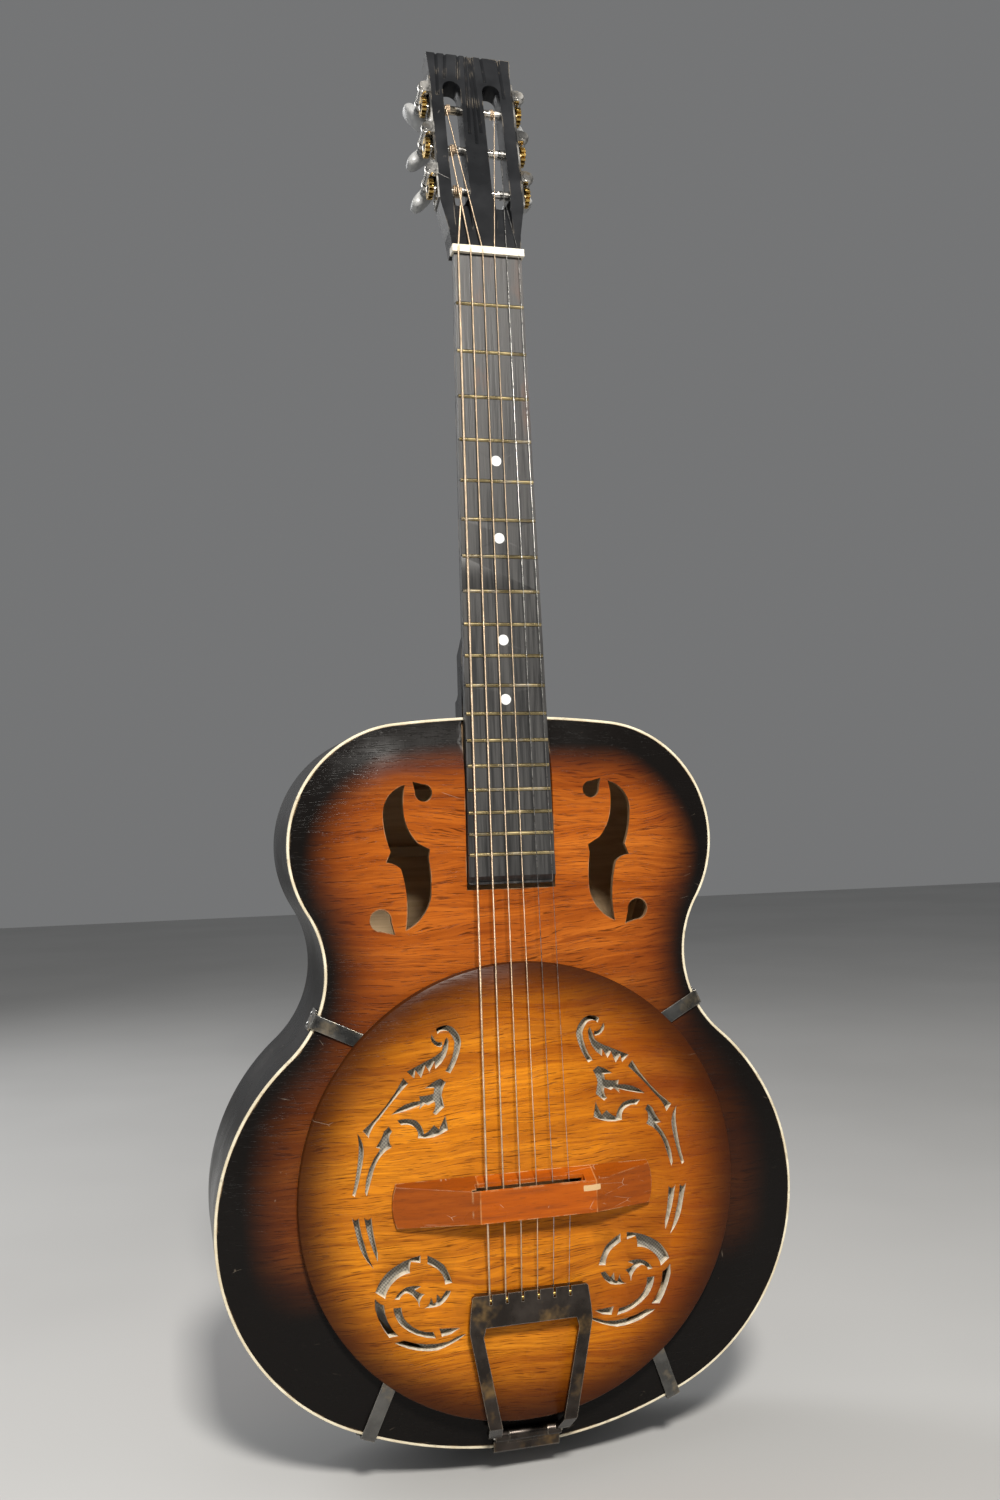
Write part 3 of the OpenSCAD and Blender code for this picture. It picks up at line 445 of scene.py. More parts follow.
def mat_board():
    """Dyed fingerboard, browned where fingers have worn the dye off near the nut."""
    mt = Mat("board_wood")
    z = mt.sep(mt.obj)[2]
    grain = mt.noise(mt.scale(mt.obj, (330, 200, 9)), 1.4, 5, 0.62)
    blot = mt.noise(mt.scale(mt.obj, (60, 30, 18)), 1.0, 4)
    c = mt.mix(mt.span(grain, 0.32, 0.7), (0.015, 0.015, 0.0152), (0.042, 0.041, 0.040))
    brown = mt.mix(mt.span(grain, 0.3, 0.7), (0.028, 0.012, 0.007), (0.12, 0.055, 0.028))
    near = mt.times(mt.span(z, NUT_Z - 0.155, NUT_Z - 0.095),
                   mt.span(z, NUT_Z - 0.038, NUT_Z - 0.018, 1.0, 0.35))
    rub = mt.times(near, mt.span(blot, 0.51, 0.66))
    c = mt.mix(mt.times(rub, 0.7), c, brown)
    mt.set(Base_Color=c, Roughness=mt.span(grain, 0.3, 0.7, 0.34, 0.55))
    mt.b.inputs["Specular IOR Level"].default_value = 0.45
    mt.bump(grain, 0.00018, 0.8)
    return mt.m


def mat_rest():
    """Handrest: reddish wood, its end facets darkened as painted shade, pale lines along its two ridges
    partly wear and partly a painted highlight, rubbed pale along its edges.
    """
    mt = Mat("rest_wood")
    a = mt.noise(mt.scale(mt.obj, (14, 60, 190)), 1.4, 5, 0.6)
    pores = mt.span(mt.noise(mt.scale(mt.obj, (70, 300, 900)), 1.5, 2), 0.60, 0.70)
    c = mt.ramp(a, [(0.3, (0.24, 0.050, 0.006)), (0.52, (0.38, 0.076, 0.003)), (0.72, (0.46, 0.104, 0.005))])
    c = mt.mix(mt.times(pores, 0.4), c, (0.09, 0.025, 0.006))
    c = mt.worn(c, (0.62, 0.42, 0.22), 0.0012, (0.02, 0.22), (90, 4, 0.65), (0.44, 0.56))
    x = mt.sep(mt.obj)[0]
    ridge_l, ridge_r, blend = -0.032, 0.045, 0.0005
    # the end facets beyond the ridges are darkened: painted shade of facets that slope away from the light
    left_facet_shade = mt.span(x, ridge_l - blend, ridge_l + blend, 1, 0)
    right_facet_shade = mt.span(x, ridge_r - blend, ridge_r + blend, 0, 1)
    c = mt.mix(mt.times(mt.plus(left_facet_shade, right_facet_shade), 0.42), c, (0.11, 0.026, 0.003))
    # broken pale lines along the two ridges: partly wear, partly a painted highlight that makes the ridges
    # show
    for ridge_x in (ridge_l, ridge_r):
        line = mt.span(mt.math("ABSOLUTE", mt.math("SUBTRACT", x, ridge_x)), 0.0001, 0.0007, 1, 0)
        broken = mt.span(mt.noise(mt.obj, 130, 3), 0.35, 0.6, 0.05, 0.35)
        c = mt.mix(mt.times(line, broken), c, (0.70, 0.40, 0.16))
    chip_at = P(42, 167.4, 29)
    q = mt.sep(mt.scale(mt.obj, (1, 1, 1), (-chip_at.x, 0, -chip_at.z)))
    across = mt.span(mt.math("ABSOLUTE", q[0]), 0.0055, 0.0062, 1, 0)
    along = mt.span(mt.math("ABSOLUTE", q[2]), 0.0008, 0.0030, 1, 0)
    ragged = mt.noise(mt.scale(mt.obj, (60, 200, 500)), 1.6, 3)
    chip = mt.span(mt.times(mt.times(across, along), ragged), 0.24, 0.30)
    c = mt.mix(chip, c, (0.60, 0.40, 0.20))
    lines = mt.scratches(mt.obj, 40, 0.014, 0.60, 0.3)
    c = mt.mix(mt.times(lines, 0.45), c, (0.60, 0.48, 0.34))
    lacquer(mt, c, mt.span(mt.noise(mt.obj, 40, 4), 0.3, 0.75, 0.24, 0.4), 0.04, 0.15)
    mt.bump(mt.plus(a, mt.times(lines, -1)), 0.00012, 0.7)
    return mt.m


def mat_screen():
    """Perforated metal screen under the fretwork."""
    mt = Mat("screen_metal")
    v = mt.scale(mt.obj, (1, 0, 1), rot=(0, 0.785, 0))
    d = mt.voronoi(v, 620, rnd=0.0)
    hole = mt.span(d, 0.36, 0.44, 1, 0)
    n = mt.noise(mt.obj, 70, 4)
    c = mt.mix(mt.span(n, 0.3, 0.7), (0.22, 0.21, 0.18), (0.38, 0.36, 0.31))
    c = mt.mix(mt.times(hole, 0.75), c, (0.10, 0.09, 0.08))
    mt.set(Base_Color=c, Metallic=0.15, Roughness=0.6)
    mt.bump(hole, 0.0002, -0.6)
    return mt.m


def mat_wound(name, col):
    """Wound string: fine ridges along the wire, with painted shade in the grooves between them."""
    mt = Mat(name)
    pitch = 0.0009
    w = mt.math("SINE", mt.times(mt.sep(mt.obj)[2], 2 * math.pi / pitch))
    n = mt.noise(mt.scale(mt.obj, (30, 30, 30)), 3, 3)
    c = mt.mix(mt.span(n, 0.3, 0.7), tuple(v * 0.6 for v in col), col)
    # the grooves between the turns are darkened: painted shade
    c = mt.mix(mt.span(w, -1, 1, 0.35, 0.0), c, tuple(v * 0.25 for v in col))
    mt.set(Base_Color=c, Metallic=0.7, Roughness=0.36)
    mt.bump(w, 0.0001, 0.6)
    return mt.m


def mat_floor():
    mt = Mat("pale_floor")
    n = mt.noise(mt.obj, 1.6, 3)
    mt.set(Base_Color=mt.mix(mt.span(n, 0.3, 0.7), (0.50, 0.50, 0.495), (0.54, 0.54, 0.535)), Roughness=0.65)
    return mt.m


M = {
    "front": mat_sunburst("front_sunburst", True),
    "back": mat_sunburst("back_sunburst", False),
    "cover": mat_cover(),
    "ply": mat_ply(),
    "ply_dark": mat_ply("f_hole_edge", (0.30, 0.17, 0.08)),
    "inner": mat_bare("bare_inside", (0.82, 0.60, 0.36), (0.62, 0.42, 0.22), "x"),
    "spruce": mat_bare("brace_wood", (0.66, 0.50, 0.30), (0.48, 0.33, 0.17), "x"),
    "blocks": mat_bare("block_wood", (0.55, 0.38, 0.21), (0.36, 0.22, 0.11), "z"),
    "maple": mat_bare("maple", (0.62, 0.47, 0.28), (0.44, 0.30, 0.16), "x"),
    "black": mat_black("black_lacquer"),
    "black_head": mat_black("black_head", (0.46, 0.39, 0.30), 0.55, (0.24, 0.44), (0.010, 0.0106, 0.0118)),
    "binding": mat_ivory("binding_cream", (0.78, 0.72, 0.55), (0.62, 0.54, 0.38)),
    "nut": mat_ivory("nut_bone", (0.80, 0.76, 0.66), (0.62, 0.55, 0.42), 0.35),
    "board": mat_board(),
    "fret": mat_metal("fret_metal", (0.50, 0.40, 0.21), (0.18, 0.35), (0.45, 0.40, 0.32)),
    "dot": mat_pearl("dot_pearl", (0.86, 0.87, 0.86), (0.66, 0.68, 0.68)),
    "button": mat_pearl("button_pearl", (0.38, 0.385, 0.38), (0.30, 0.305, 0.31), 0.36, 0.08),
    "nickel": mat_metal("nickel", (0.72, 0.70, 0.66), (0.16, 0.34), (0.45, 0.38, 0.28)),
    "strap": mat_metal("strap_nickel", (0.18, 0.178, 0.170), (0.20, 0.42), (0.30, 0.25, 0.18),
                       (0.50, 0.66), 70, 0.6, (0.72, 0.69, 0.62)),
    "screw": mat_metal("screw_nickel", (0.74, 0.73, 0.70), (0.14, 0.28), (0.45, 0.40, 0.30)),
    "gear": mat_metal("gear_brass", (0.62, 0.42, 0.13), (0.22, 0.40), (0.36, 0.24, 0.08)),
    "tail": mat_metal("tail_plate", (0.078, 0.066, 0.058), (0.18, 0.42), (0.30, 0.19, 0.08),
                      (0.52, 0.70), 45, 0.45, (0.52, 0.46, 0.38)),
    "cone": mat_metal("spun_aluminium", (0.78, 0.78, 0.79), (0.25, 0.4)),
    "rest": mat_rest(),
    "screen": mat_screen(),
    "bronze": mat_wound("string_bronze", (0.92, 0.70, 0.48)),
    "steel": mat_metal("string_steel", (0.66, 0.65, 0.62), (0.2, 0.35), None, (0.5, 0.6), 200),
    "pin": mat_black("pin_black", (0.1, 0.08, 0.06), 0.3, (0.2, 0.3)),
}


# ---------------------------------------------------------------- mesh helpers
def link(name, mesh, mats):
    o = bpy.data.objects.new(name, mesh)
    scene.collection.objects.link(o)
    for x in mats:
        mesh.materials.append(x)
    return o


def from_bm(name, bm, mats, smooth=None):
    """A new object from a bmesh; edges below the smooth angle in degrees are shaded smooth."""
    me = bpy.data.meshes.new(name)
    bm.normal_update()
    bm.to_mesh(me)
    bm.free()
    o = link(name, me, mats)
    if smooth is not None:
        shade(o, smooth)
    return o


def shade(o, angle=35):
    me = o.data
    me.polygons.foreach_set("use_smooth", [True] * len(me.polygons))
    bm = bmesh.new()
    bm.from_mesh(me)
    lim = math.radians(angle)
    for e in bm.edges:
        e.smooth = len(e.link_faces) == 2 and e.calc_face_angle(0) < lim
    bm.to_mesh(me)
    bm.free()


def bevel(o, width, seg=2, angle=35):
    w = o.modifiers.new("weld", "WELD")
    w.merge_threshold = 0.00002
    b = o.modifiers.new("bevel", "BEVEL")
    b.width = width
    b.segments = seg
    b.limit_method = "ANGLE"
    b.angle_limit = math.radians(angle)
    b.harden_normals = True
    b.miter_outer = "MITER_ARC"


def dress(node, mat, width=None, seg=2):
    """A CAD node shown as it is, with a finish and softened edges."""
    o = frame["nodes"][node]
    o.data.materials.clear()
    o.data.materials.append(mat)
    o.data.polygons.foreach_set("material_index", [0] * len(o.data.polygons))
    if width:
        bevel(o, width, seg)


def join_rows(bm, a, b, slot=0):
    """Quads between two closed rows of vertices."""
    n = len(a)
    for i in range(n):
        bm.faces.new([a[i], a[(i + 1) % n], b[(i + 1) % n], b[i]]).material_index = slot


def loft(bm, rings):
    """Rings joined one to the next, with a face over each end."""
    for a, b in zip(rings, rings[1:]):
        join_rows(bm, a, b)
    bm.faces.new(rings[0][::-1])
    bm.faces.new(rings[-1])


def circle(bm, centre, u, v, r, n):
    """A ring of n vertices in the plane of u and v."""
    turn = [2 * math.pi * s / n for s in range(n)]
    return [bm.verts.new(centre + r * (math.cos(t) * u + math.sin(t) * v)) for t in turn]


def stands_for(o, body, slot, *nodes):
    """The object moves with a body and takes the place of CAD nodes; the slot argument is not used."""
    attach(o, body)
    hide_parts(*nodes)


# ---------------------------------------------------------------- body outline: tangent arcs, mm
BODY_LEN, LOW_R, UP_R, WAIST_R = 475.0, 140.0, 81.0, 72.0
LOW_UP = 151.5  # centres of the lower bout's arcs, up from the tail
UP_OUT, UP_H = 65.0, 84.5  # centres of the upper bout's arcs, out from the middle and down from the neck end
LOW_C = np.array([b_hi.x / MM - LOW_R, LOW_UP])
UP_C = np.array([UP_OUT, BODY_LEN - UP_H])
TAIL_R = (LOW_C[0] ** 2 + LOW_C[1] ** 2 - LOW_R ** 2) / (2 * (LOW_C[1] - LOW_R))
TAIL_C = np.array([0.0, TAIL_R])
NECK_R = (UP_C[0] ** 2 + UP_H ** 2 - UP_R ** 2) / (2 * (UP_H - UP_R))
NECK_C = np.array([0.0, BODY_LEN - NECK_R])
GAP = UP_C - LOW_C
DIST = float(np.hypot(*GAP))
AA, BB = LOW_R + WAIST_R, UP_R + WAIST_R
ALONG = (AA ** 2 - BB ** 2 + DIST ** 2) / (2 * DIST)
OFF = math.sqrt(AA ** 2 - ALONG ** 2)
WAIST_C = LOW_C + (ALONG * GAP + OFF * np.array([GAP[1], -GAP[0]])) / DIST


def heading(v):
    """Direction of a plan vector in degrees."""
    return math.degrees(math.atan2(v[1], v[0]))


def arc(c, r, a0, a1, n):
    """n points along an arc, without its end point."""
    a = np.radians(np.linspace(a0, a1, n, endpoint=False))
    return np.stack([c[0] + r * np.cos(a), c[1] + r * np.sin(a)], 1)


def outline(inset=0.0):
    """Closed outline of the body, counter-clockwise, starting at the tail."""
    low, waist = heading(LOW_C - TAIL_C), heading(WAIST_C - LOW_C)
    up, neck = heading(WAIST_C - UP_C), heading(UP_C - NECK_C)
    right = np.concatenate([
        arc(TAIL_C, TAIL_R - inset, -90, low, 16), arc(LOW_C, LOW_R - inset, low, waist, 90),
        arc(WAIST_C, WAIST_R + inset, waist + 180, up + 180, 44),
        arc(UP_C, UP_R - inset, up, neck, 66), arc(NECK_C, NECK_R - inset, neck, 90, 10),
        [[0.0, BODY_LEN - inset]]])
    left = right[1:-1][::-1] * [-1, 1]
    return np.concatenate([right, left])


OUT = outline()


def edge_distance(p):
    """Distance of plan points from the body outline, in mm."""
    a, b = OUT, np.roll(OUT, -1, 0)
    ab = b - a
    best = np.zeros(len(p))
    batch = 500
    for i in range(0, len(p), batch):
        q = p[i:i + batch, None, :]
        t = np.clip(((q - a) * ab).sum(2) / (ab * ab).sum(1), 0, 1)
        d = np.hypot(*np.moveaxis(q - (a + t[..., None] * ab), 2, 0))
        best[i:i + batch] = d.min(1)
    return best


def inside(p, poly):
    """Which points lie inside a closed outline."""
    x, y = p[:, 0:1], p[:, 1:2]
    a, b = poly, np.roll(poly, -1, 0)
    cross = ((a[:, 1] > y) != (b[:, 1] > y))
    slope = (b[:, 0] - a[:, 0]) / np.where(b[:, 1] == a[:, 1], 1e-9, b[:, 1] - a[:, 1])
    xs = a[:, 0] + (y - a[:, 1]) * slope
    return (cross & (x < xs)).sum(1) % 2 == 1


def between(p, outer, holes):
    """Which points lie inside the outer outline and in none of the holes."""
    ok = inside(p, outer)
    for h in holes:
        ok &= ~inside(p, h)
    return ok


def chained(loops):
    """Points of several closed loops and the edges along them."""
    pts, edges = [], []
    for loop in loops:
        k = len(pts)
        pts += [Vector(q) for q in loop]
        edges += [(k + i, k + (i + 1) % len(loop)) for i in range(len(loop))]
    return pts, edges


SWELL, SWELL_RUN, RIM_FLAT, SWELL_ROUND = 8.0, 37.5, 1.0, 0.28


def arched(d):
    """Height of a plate's swell at a distance from the outline: a ramp with softened ends."""
    t = np.clip((d - RIM_FLAT) / SWELL_RUN, 0, 1)
    return SWELL * ((1 - SWELL_ROUND) * t + SWELL_ROUND * t * t * (3 - 2 * t))


def bow(a, b, s):
    """Points from a towards b on an arc that bulges s to the left, or a alone for a straight edge."""
    n = 8
    a, b = np.array(a, float), np.array(b, float)
    if s == 0:
        return [a]
    c = np.hypot(*(b - a))
    u = (b - a) / c
    w = np.array([-u[1], u[0]])
    h = 2 * math.atan(2 * s / c)
    r = c / (2 * math.sin(h))
    m = (a + b) / 2 + w * (s - r)
    return [m + r * (w * math.cos(2 * h * i / n - h) + u * math.sin(2 * h * i / n - h)) for i in range(n)]


def outline_pts(q):
    """Outline from corners, each with the bulge of the edge that follows it."""
    return np.array([p for i in range(len(q)) for p in bow(q[i][:2], q[(i + 1) % len(q)][:2], q[i][2])])


def ring_pts(c, r, n=40):
    return arc(c, r, 0, 360, n)


# one f-hole in mm: its stem, then ball and barb of the upper and of the lower curl
F_BODY = outline_pts([(69.5, 430, 4), (84.5, 412, 1.2), (80, 387, 0), (83, 380, -1), (73.5, 375.5, -2.3),
                      (71.3, 336, 3.4), (54, 357, 0.7), (55, 382, 0), (54, 387.5, 0), (62, 392, -2.2),
                      (71, 414, -0.8)])
F_PARTS = [F_BODY, ring_pts((57.3, 424.5), 5.7), np.array([(64.5, 432), (54.5, 429.3), (62.3, 422)], float),
           ring_pts((87.6, 343), 7.0), np.array([(78.5, 333.5), (82, 347), (90.2, 336.8)], float)]
F_HOLES = F_PARTS + [p[::-1] * [-1, 1] for p in F_PARTS]
CONE_C, WELL_R = (0, 162.5), 124.0
# the fingerboard's bed, cut out of the front
BED = np.array([(-30.2, 360.0), (30.2, 360.0), (29.0, 480.0), (-29.0, 480.0)])


PLATE_T, DEPTH, SIDE_T = 4.0, 100.0, 3.0
BIND_W, BIND_D = 1.9, 2.4
GRID_CLEAR = 3.7  # grid points keep this far from the outline
RING_INSETS = (5.5, 9.0, 13.0)  # extra rings of points where the swell begins
OUTER, EDGE, INNER = 0, 1, 2  # material slots of the plates and the cover


def plate(name, rim, holes, z_edge, sign, mats, step=4.0):
    """Arched plate: triangulated plan, lifted by its distance from the outline, with real thickness."""
    lo, hi = rim.min(0), rim.max(0)
    gx, gy = np.meshgrid(np.arange(lo[0], hi[0], step), np.arange(lo[1], hi[1], step))
    g = np.stack([gx.ravel(), gy.ravel()], 1)
    g[:, 0] += (np.round(g[:, 1] / step) % 2) * step / 2
    g = g[between(g, rim, holes) & (edge_distance(g) > GRID_CLEAR)]
    for inset in RING_INSETS:
        ring = outline(inset)
        g = np.concatenate([g, ring[between(ring, rim, holes)]])
    pts, edges = chained([rim] + holes)
    pts += [Vector(q) for q in g]
    v, _, f, *_ = geometry.delaunay_2d_cdt(pts, edges, [], 0, 1e-4)
    v = np.array([tuple(q) for q in v])
    f = np.array(f)
    f = f[between(v[f].mean(1), rim, holes)]
    d = edge_distance(v)
    z = arched(d)
    bm = bmesh.new()
    lay = bm.verts.layers.float.new("edge_mm")
    top, low = {}, {}
    for i in sorted(set(f.ravel().tolist())):
        top[i] = bm.verts.new(P(*v[i], z_edge + sign * z[i]))
        low[i] = bm.verts.new(P(*v[i], z_edge + sign * (z[i] - PLATE_T)))
        top[i][lay] = low[i][lay] = d[i]
    open_edges = {}
    for t in f.tolist():
        bm.faces.new([top[q] for q in t[::sign]]).material_index = OUTER
        bm.faces.new([low[q] for q in t[::-sign]]).material_index = INNER
        for a, b in zip(t, t[1:] + t[:1]):
            if (b, a) in open_edges:
                del open_edges[(b, a)]
            else:
                open_edges[(a, b)] = True
    for a, b in open_edges:
        bm.faces.new([top[b], top[a], low[a], low[b]][::sign]).material_index = EDGE
    bmesh.ops.recalc_face_normals(bm, faces=bm.faces)
    return from_bm(name, bm, mats, 40)


front_holes = F_HOLES + [ring_pts(CONE_C, WELL_R, 160), BED]
front = plate("front_plate", outline(BIND_W), front_holes, 0.0, 1, [M["front"], M["ply_dark"], M["inner"]])
stands_for(front, "guitar", "soundboard", "soundboard")
rear = plate("back_plate", outline(), [], -DEPTH, -1, [M["back"], M["black"], M["inner"]], 6.0)
stands_for(rear, "guitar", "back", "back")


def band(name, pts_out, pts_in, z0, z1, mats, closed=True):
    """A strip that follows the outline: outer face, inner face, both edges."""
    bm = bmesh.new()
    rows = []
    for po, pi in zip(pts_out, pts_in):
        rows.append([bm.verts.new(P(*po, z0)), bm.verts.new(P(*po, z1)),
                     bm.verts.new(P(*pi, z1)), bm.verts.new(P(*pi, z0))])
    for a, b in zip(rows, rows[1:] + rows[:1] if closed else rows[1:]):
        for k in range(4):
            w = bm.faces.new([a[k], b[k], b[(k + 1) % 4], a[(k + 1) % 4]])
            w.material_index = 1 if k == 2 and len(mats) > 1 else 0
    if not closed:
        bm.faces.new(rows[0])
        bm.faces.new(rows[-1][::-1])
    bmesh.ops.recalc_face_normals(bm, faces=bm.faces)
    return from_bm(name, bm, mats, 40)


half_n = len(OUT) // 2
side_in = outline(SIDE_T)
right_half = list(range(half_n + 1))
left_half = list(range(half_n, len(OUT))) + [0]
for name, node, half in (("side_treble_bent", "side_treble", right_half),
                         ("side_bass_bent", "side_bass", left_half)):
    bent = band(name, OUT[half], side_in[half], PLATE_T - DEPTH, -BIND_D, [M["black"], M["inner"]], False)
    stands_for(bent, "guitar", node, node)
bind = band("binding_strip", OUT, outline(BIND_W), -BIND_D, 0, [M["binding"]])
bevel(bind, 0.0006, 3, 50)
stands_for(bind, "guitar", "front_binding", "front_binding")


# ---------------------------------------------------------------- fretwork cover from the frame's cut-outs
def plane_loops(node, y_plane):
    """Closed loops where the node's flat front face ends."""
    weld, tol, facing = 1e-5, 2e-5, -0.99
    bm = bmesh.new()
    bm.from_mesh(frame["nodes"][node].data)
    bmesh.ops.remove_doubles(bm, verts=bm.verts, dist=weld)
    flat = {f for f in bm.faces if f.normal.y < facing and all(abs(v.co.y - y_plane) < tol for v in f.verts)}
    nxt = {}
    for f in flat:
        vs = list(f.verts)
        for i, v in enumerate(vs):
            w = vs[(i + 1) % len(vs)]
            e = bm.edges.get((v, w))
            if sum(1 for g in e.link_faces if g in flat) == 1:
                nxt.setdefault(v.index, []).append(w.index)
    bm.verts.ensure_lookup_table()
    co = [(v.co.x, v.co.z) for v in bm.verts]
    loops = []
    while nxt:
        start = next(iter(nxt))
        lp, cur = [], start
        while cur in nxt:
            lp.append(co[cur])
            to = nxt[cur].pop()
            if not nxt[cur]:
                del nxt[cur]
            cur = to
            if cur == start:
                break
        if len(lp) > 2:
            loops.append(lp)
    bm.free()
    return loops


c_lo, c_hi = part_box("cover")
COVER_MID = np.array([(c_lo.x + c_hi.x) / 2, (c_lo.z + c_hi.z) / 2])
COVER_R = (c_hi.x - c_lo.x) / 2
RIM_SOFT, HOLE_SOFT = 0.0008, 0.0004


def cut_outs():
    """The holes in the cover's face, those with the fewest points first."""
    reach = COVER_R - 0.003
    return [lp for lp in sorted(plane_loops("cover", c_lo.y), key=len)
            if max(math.dist(q, COVER_MID) for q in lp) < reach]


def grown(loop, by):
    """A hole's outline and the same outline moved into the wood around it."""
    limit = 2.2  # a sharp corner moves at most this many times as far
    q = np.array(loop)
    if (q[:, 0] * np.roll(q[:, 1], -1) - q[:, 1] * np.roll(q[:, 0], -1)).sum() < 0:
        q = q[::-1]
    e = np.roll(q, -1, 0) - q
    e /= np.linalg.norm(e, axis=1)[:, None]
    n1 = np.stack([e[:, 1], -e[:, 0]], 1)
    n0 = np.roll(n1, 1, 0)
    m = n0 + n1
    k = np.maximum((m * n1).sum(1), 2.0 / limit ** 2)
    step = m * (by / k)[:, None]
    size = np.linalg.norm(step, axis=1)
    step *= np.minimum(1, limit * abs(by) / np.maximum(size, 1e-12))[:, None]
    return q, q + step


def fill(loops):
    """Triangles between an outer loop, the last one, and the holes before it."""
    pts, edges = chained(loops)
    v, _, f, origins, *_ = geometry.delaunay_2d_cdt(pts, edges, [], 0, 1e-8)
    f = np.array(f)
    mid = np.array([tuple(q) for q in v])[f].mean(1)
    home = {q: i for i, merged in enumerate(origins) for q in merged}
    return v, f[between(mid, np.array(loops[-1]), [np.array(h) for h in loops[:-1]])], home


def cover_disc():
    """The cover: face and underside filled between the holes, then walls with softened front edges."""
    rim = ring_pts(COVER_MID, COVER_R, 200)
    pairs = [grown(lp, HOLE_SOFT) for lp in cut_outs()]
    walls = [q[0] for q in pairs] + [rim]
    tops = [q[1] for q in pairs] + [(rim - COVER_MID) * (1 - RIM_SOFT / COVER_R) + COVER_MID]
    bm = bmesh.new()
    levels = []
    for loops, y, slot in ((tops, c_lo.y, OUTER), (walls, c_hi.y, INNER)):
        v, f, home = fill(loops)
        made = [bm.verts.new((q.x, y, q.y)) for q in v]
        for t in f.tolist():
            bm.faces.new([made[q] for q in t]).material_index = slot
        levels.append([made[home[q]] for q in range(len(home))])
    k = 0
    for wall in walls:
        n = len(wall)
        soft, slot = (RIM_SOFT, OUTER) if wall is rim else (HOLE_SOFT, EDGE)
        mid_row = [bm.verts.new((x, c_lo.y + soft, z)) for x, z in wall]
        join_rows(bm, levels[0][k:k + n], mid_row, OUTER)
        join_rows(bm, mid_row, levels[1][k:k + n], slot)
        k += n
    bmesh.ops.delete(bm, geom=[v for v in bm.verts if not v.link_faces], context="VERTS")
    bmesh.ops.recalc_face_normals(bm, faces=bm.faces)
    return from_bm("cover_disc", bm, [M["cover"], M["ply"], M["inner"]], 50)


disc = cover_disc()
stands_for(disc, "guitar", "cover", "cover")


# ---------------------------------------------------------------- CAD pieces, finished
# node, finish, width of its softened edges in metres, segments across them
FINISHES = (
    ("neck", "black_head", 0.0007, 2), ("fingerboard", "board", 0.0005, 2), ("nut", "nut", 0.0004, 2),
    ("frets", "fret", None, 0), ("position_dots", "dot", None, 0), ("saddle", "maple", 0.0003, 2),
    ("biscuit", "maple", 0.0005, 2), ("cone", "cone", None, 0), ("cover_screen", "screen", None, 0),
    ("soundwell", "spruce", 0.0008, 2), ("linings", "spruce", None, 0), ("braces", "spruce", 0.0012, 2),
    ("neck_block", "blocks", 0.0010, 2), ("tail_block", "blocks", 0.0010, 2),
    ("cover_straps", "strap", 0.0004, 2), ("body_screws", "screw", 0.0002, 2),
    ("tailpiece", "tail", 0.0007, 3), ("tail_bracket", "tail", 0.0005, 2),
    ("hinge_rod", "nickel", 0.0004, 2), ("end_pin", "pin", 0.0010, 3),
    ("tuner_plate_bass", "nickel", 0.0003, 2), ("tuner_plate_treble", "nickel", 0.0003, 2),
    ("plate_screws", "screw", 0.0002, 2), ("handrest", "rest", 0.0011, 3))
for node, finish, width, seg in FINISHES:
    dress(node, M[finish], width, seg)
for i in range(1, 7):
    dress(f"worm_{i}", M["nickel"], 0.00012, 1)
    dress(f"gear_{i}", M["gear"], 0.00025, 2)
    dress(f"roller_{i}", M["nickel"], 0.00025, 2)

# ---------------------------------------------------------------- tuner buttons
joint_of = {j["child"]: j for j in frame["joints"]}


def node_pts(n):
    o = frame["nodes"][n]
    co = np.zeros(len(o.data.vertices) * 3, np.float32)
    o.data.vertices.foreach_get("co", co)
    return co.reshape(-1, 3).astype(float)


GRIP_IN = 0.0065  # middle of the grip, in from the button's outer end
GRIP_A, GRIP_B, GRIP_C = 0.0124, 0.0046, 0.0067  # half its length, thickness and height
GRIP_ROWS, GRIP_COLS = 20, 40
COLLAR_IN, COLLAR_R = 0.0105, 0.0030
DIP_IN, DIP_R = 0.0125, 0.0026  # the collar is thinner here


def full(x, power):
    """A sine or cosine pushed away from zero, which fills an oval's corners when power is below 1."""
    return math.copysign(abs(x) ** power, x)


def button(i):
    """Pearl tuner button: a soft-edged oval grip on the collar that its shaft enters."""
    shaft = joint_of[f"worm_shaft_{i}"]
    w = np.array(shaft["axis"], float)
    w /= np.linalg.norm(w)
    on_axis = np.array(shaft["pos_m"], float)
    pts = node_pts(f"button_{i}") - on_axis
    h = pts @ w
    flat = pts - np.outer(h, w)
    u = np.linalg.svd(flat - flat.mean(0))[2][0]
    v = np.cross(w, u)
    low, high = h.min(), h.max()
    centre = on_axis + w * (low + GRIP_IN)
    bm = bmesh.new()
    rows = []
    for r in range(1, GRIP_ROWS):
        tilt = math.pi * r / GRIP_ROWS - math.pi / 2
        wide, up = full(math.cos(tilt), 0.55), full(math.sin(tilt), 0.55)
        row = []
        for s in range(GRIP_COLS):
            turn = 2 * math.pi * s / GRIP_COLS
            along, across = full(math.cos(turn), 0.75), full(math.sin(turn), 0.75)
            at = centre + u * GRIP_A * wide * along + v * GRIP_B * wide * across + w * GRIP_C * up
            row.append(bm.verts.new(at))
        rows.append(row)
    loft(bm, rows)
    collar = ((low + COLLAR_IN, COLLAR_R), (low + DIP_IN, DIP_R), (high - 0.0002, COLLAR_R),
              (high, COLLAR_R - 0.0003))
    loft(bm, [circle(bm, on_axis + w * z, u, v, rad, 24) for z, rad in collar])
    bmesh.ops.recalc_face_normals(bm, faces=bm.faces)
    o = from_bm(f"pearl_button_{i}", bm, [M["button"]], 50)
    stands_for(o, f"worm_shaft_{i}", "button", f"button_{i}")


for i in range(1, 7):
    button(i)

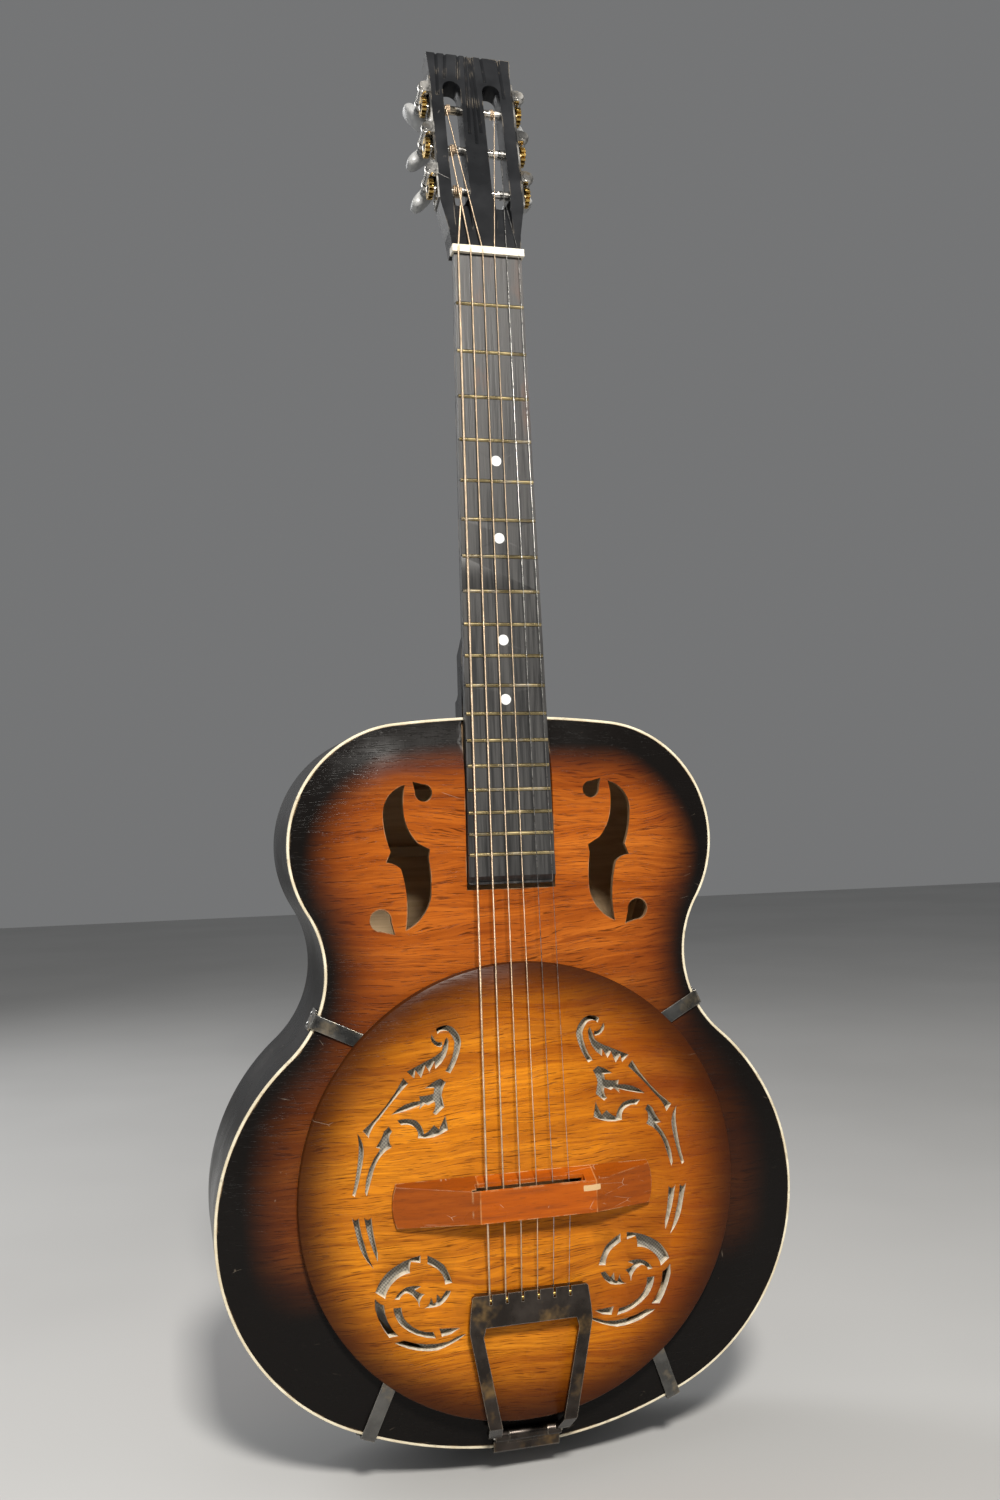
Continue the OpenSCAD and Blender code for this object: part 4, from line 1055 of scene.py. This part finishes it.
# ---------------------------------------------------------------- strings with their turns on the rollers
STRINGS = ["string_1_low_e", "string_2_a", "string_3_d", "string_4_g", "string_5_b", "string_6_high_e"]
STRING_R = [0.66, 0.53, 0.41, 0.32, 0.22, 0.17]
WOUND = 4  # the first four strings are wound
ROLLER_R = 0.003
WOUND_TURNS, PLAIN_TURNS = 3.2, 4.6
TURN_GAP = 2.15  # from turn to turn, in string radii
WIND_IN_X = 0.0165  # a string that meets its roller farther out than this winds towards the middle
# ball end, a short turned barrel with rounded rims: place along it and radius there, mm
BARREL = [(-2.0, 1.2), (-1.7, 1.75), (-1.2, 1.9), (-0.6, 1.55), (0, 1.45), (0.6, 1.55), (1.2, 1.9),
          (1.7, 1.75), (2.0, 1.2)]
saddle_z = sum((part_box("saddle")[k].z for k in (0, 1))) / 2
nut_z = sum((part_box("nut")[k].z for k in (0, 1))) / 2


def tube(name, pts, r, mat):
    """A round wire through the points."""
    cu = bpy.data.curves.new(name, "CURVE")
    cu.dimensions = "3D"
    cu.bevel_depth = r
    cu.bevel_resolution = 3
    cu.use_fill_caps = True
    s = cu.splines.new("POLY")
    s.points.add(len(pts) - 1)
    for p, q in zip(s.points, pts):
        p.co = (*q, 1)
    s.use_smooth = True
    o = bpy.data.objects.new(name, cu)
    scene.collection.objects.link(o)
    cu.materials.append(mat)
    return o


def string_path(name, r):
    """Where the CAD string leaves its roller, crosses nut and saddle, and holds its ball end."""
    pts = node_pts(name)
    z = pts[:, 2]
    path = [pts[z > z.max() - 2.2 * r].mean(0)]
    for bend in (nut_z, saddle_z):
        path.append(pts[np.abs(z - bend) < 0.0012].mean(0))
    tail = pts[z < path[-1][2] - 0.03]
    middle = (tail.min(0) + tail.max(0)) / 2
    path.append(np.array([middle[0], middle[1], z.min() + 0.0019]))
    return [Vector(q) for q in path]


def ball_end(i, at):
    """The string's anchor behind the tail bar."""
    bm = bmesh.new()
    y_dir, z_dir = Vector((0, 1, 0)), Vector((0, 0, 1))
    loft(bm, [circle(bm, at + Vector((x * MM, 0, 0)), y_dir, z_dir, r * MM, 20) for x, r in BARREL])
    bmesh.ops.recalc_face_normals(bm, faces=bm.faces)
    return from_bm(f"ball_end_{i + 1}", bm, [M["gear"]], 50)


def wound_turns(i, start, r, mat):
    """The string's turns, side by side on its roller from where it arrives."""
    c = Vector(joint_of[f"string_roller_{i + 1}"]["pos_m"])
    rad = ROLLER_R + r * 1.05
    side = 1 if i > 2 else -1
    step = -side * TURN_GAP * r if abs(start.x) > WIND_IN_X else side * TURN_GAP * r
    turns = WOUND_TURNS if i < WOUND else PLAIN_TURNS
    n = int(turns * 28)
    a0 = math.atan2(start.z - c.z, start.y - c.y)
    wrap = []
    for k in range(n + 1):
        t = k / n
        a = a0 + 2 * math.pi * turns * t
        wrap.append((start.x + step * (0.55 + turns * t), c.y + rad * math.cos(a), c.z + rad * math.sin(a)))
    return tube(f"string_{i + 1}_turns", wrap, r * 0.96, mat)


for i, name in enumerate(STRINGS):
    r = STRING_R[i] * MM
    mat = M["bronze"] if i < WOUND else M["steel"]
    p = string_path(name, r)
    line = tube(f"string_{i + 1}_run", p, r, mat)
    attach(line, "guitar")
    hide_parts(name)
    ball_o = ball_end(i, p[3])
    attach(ball_o, "guitar")
    wr = wound_turns(i, p[0], r, mat)
    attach(wr, f"string_roller_{i + 1}")

# ---------------------------------------------------------------- floor, just under the model's lowest point
floor_z = CAD_BOX[0][2] - 0.004
half = 6
bm = bmesh.new()
for x, y in ((-half, -half), (half, -half), (half, half), (-half, half)):
    bm.verts.new((x, y, floor_z))
bm.faces.new(bm.verts)
floor = from_bm("pale_floor", bm, [mat_floor()])
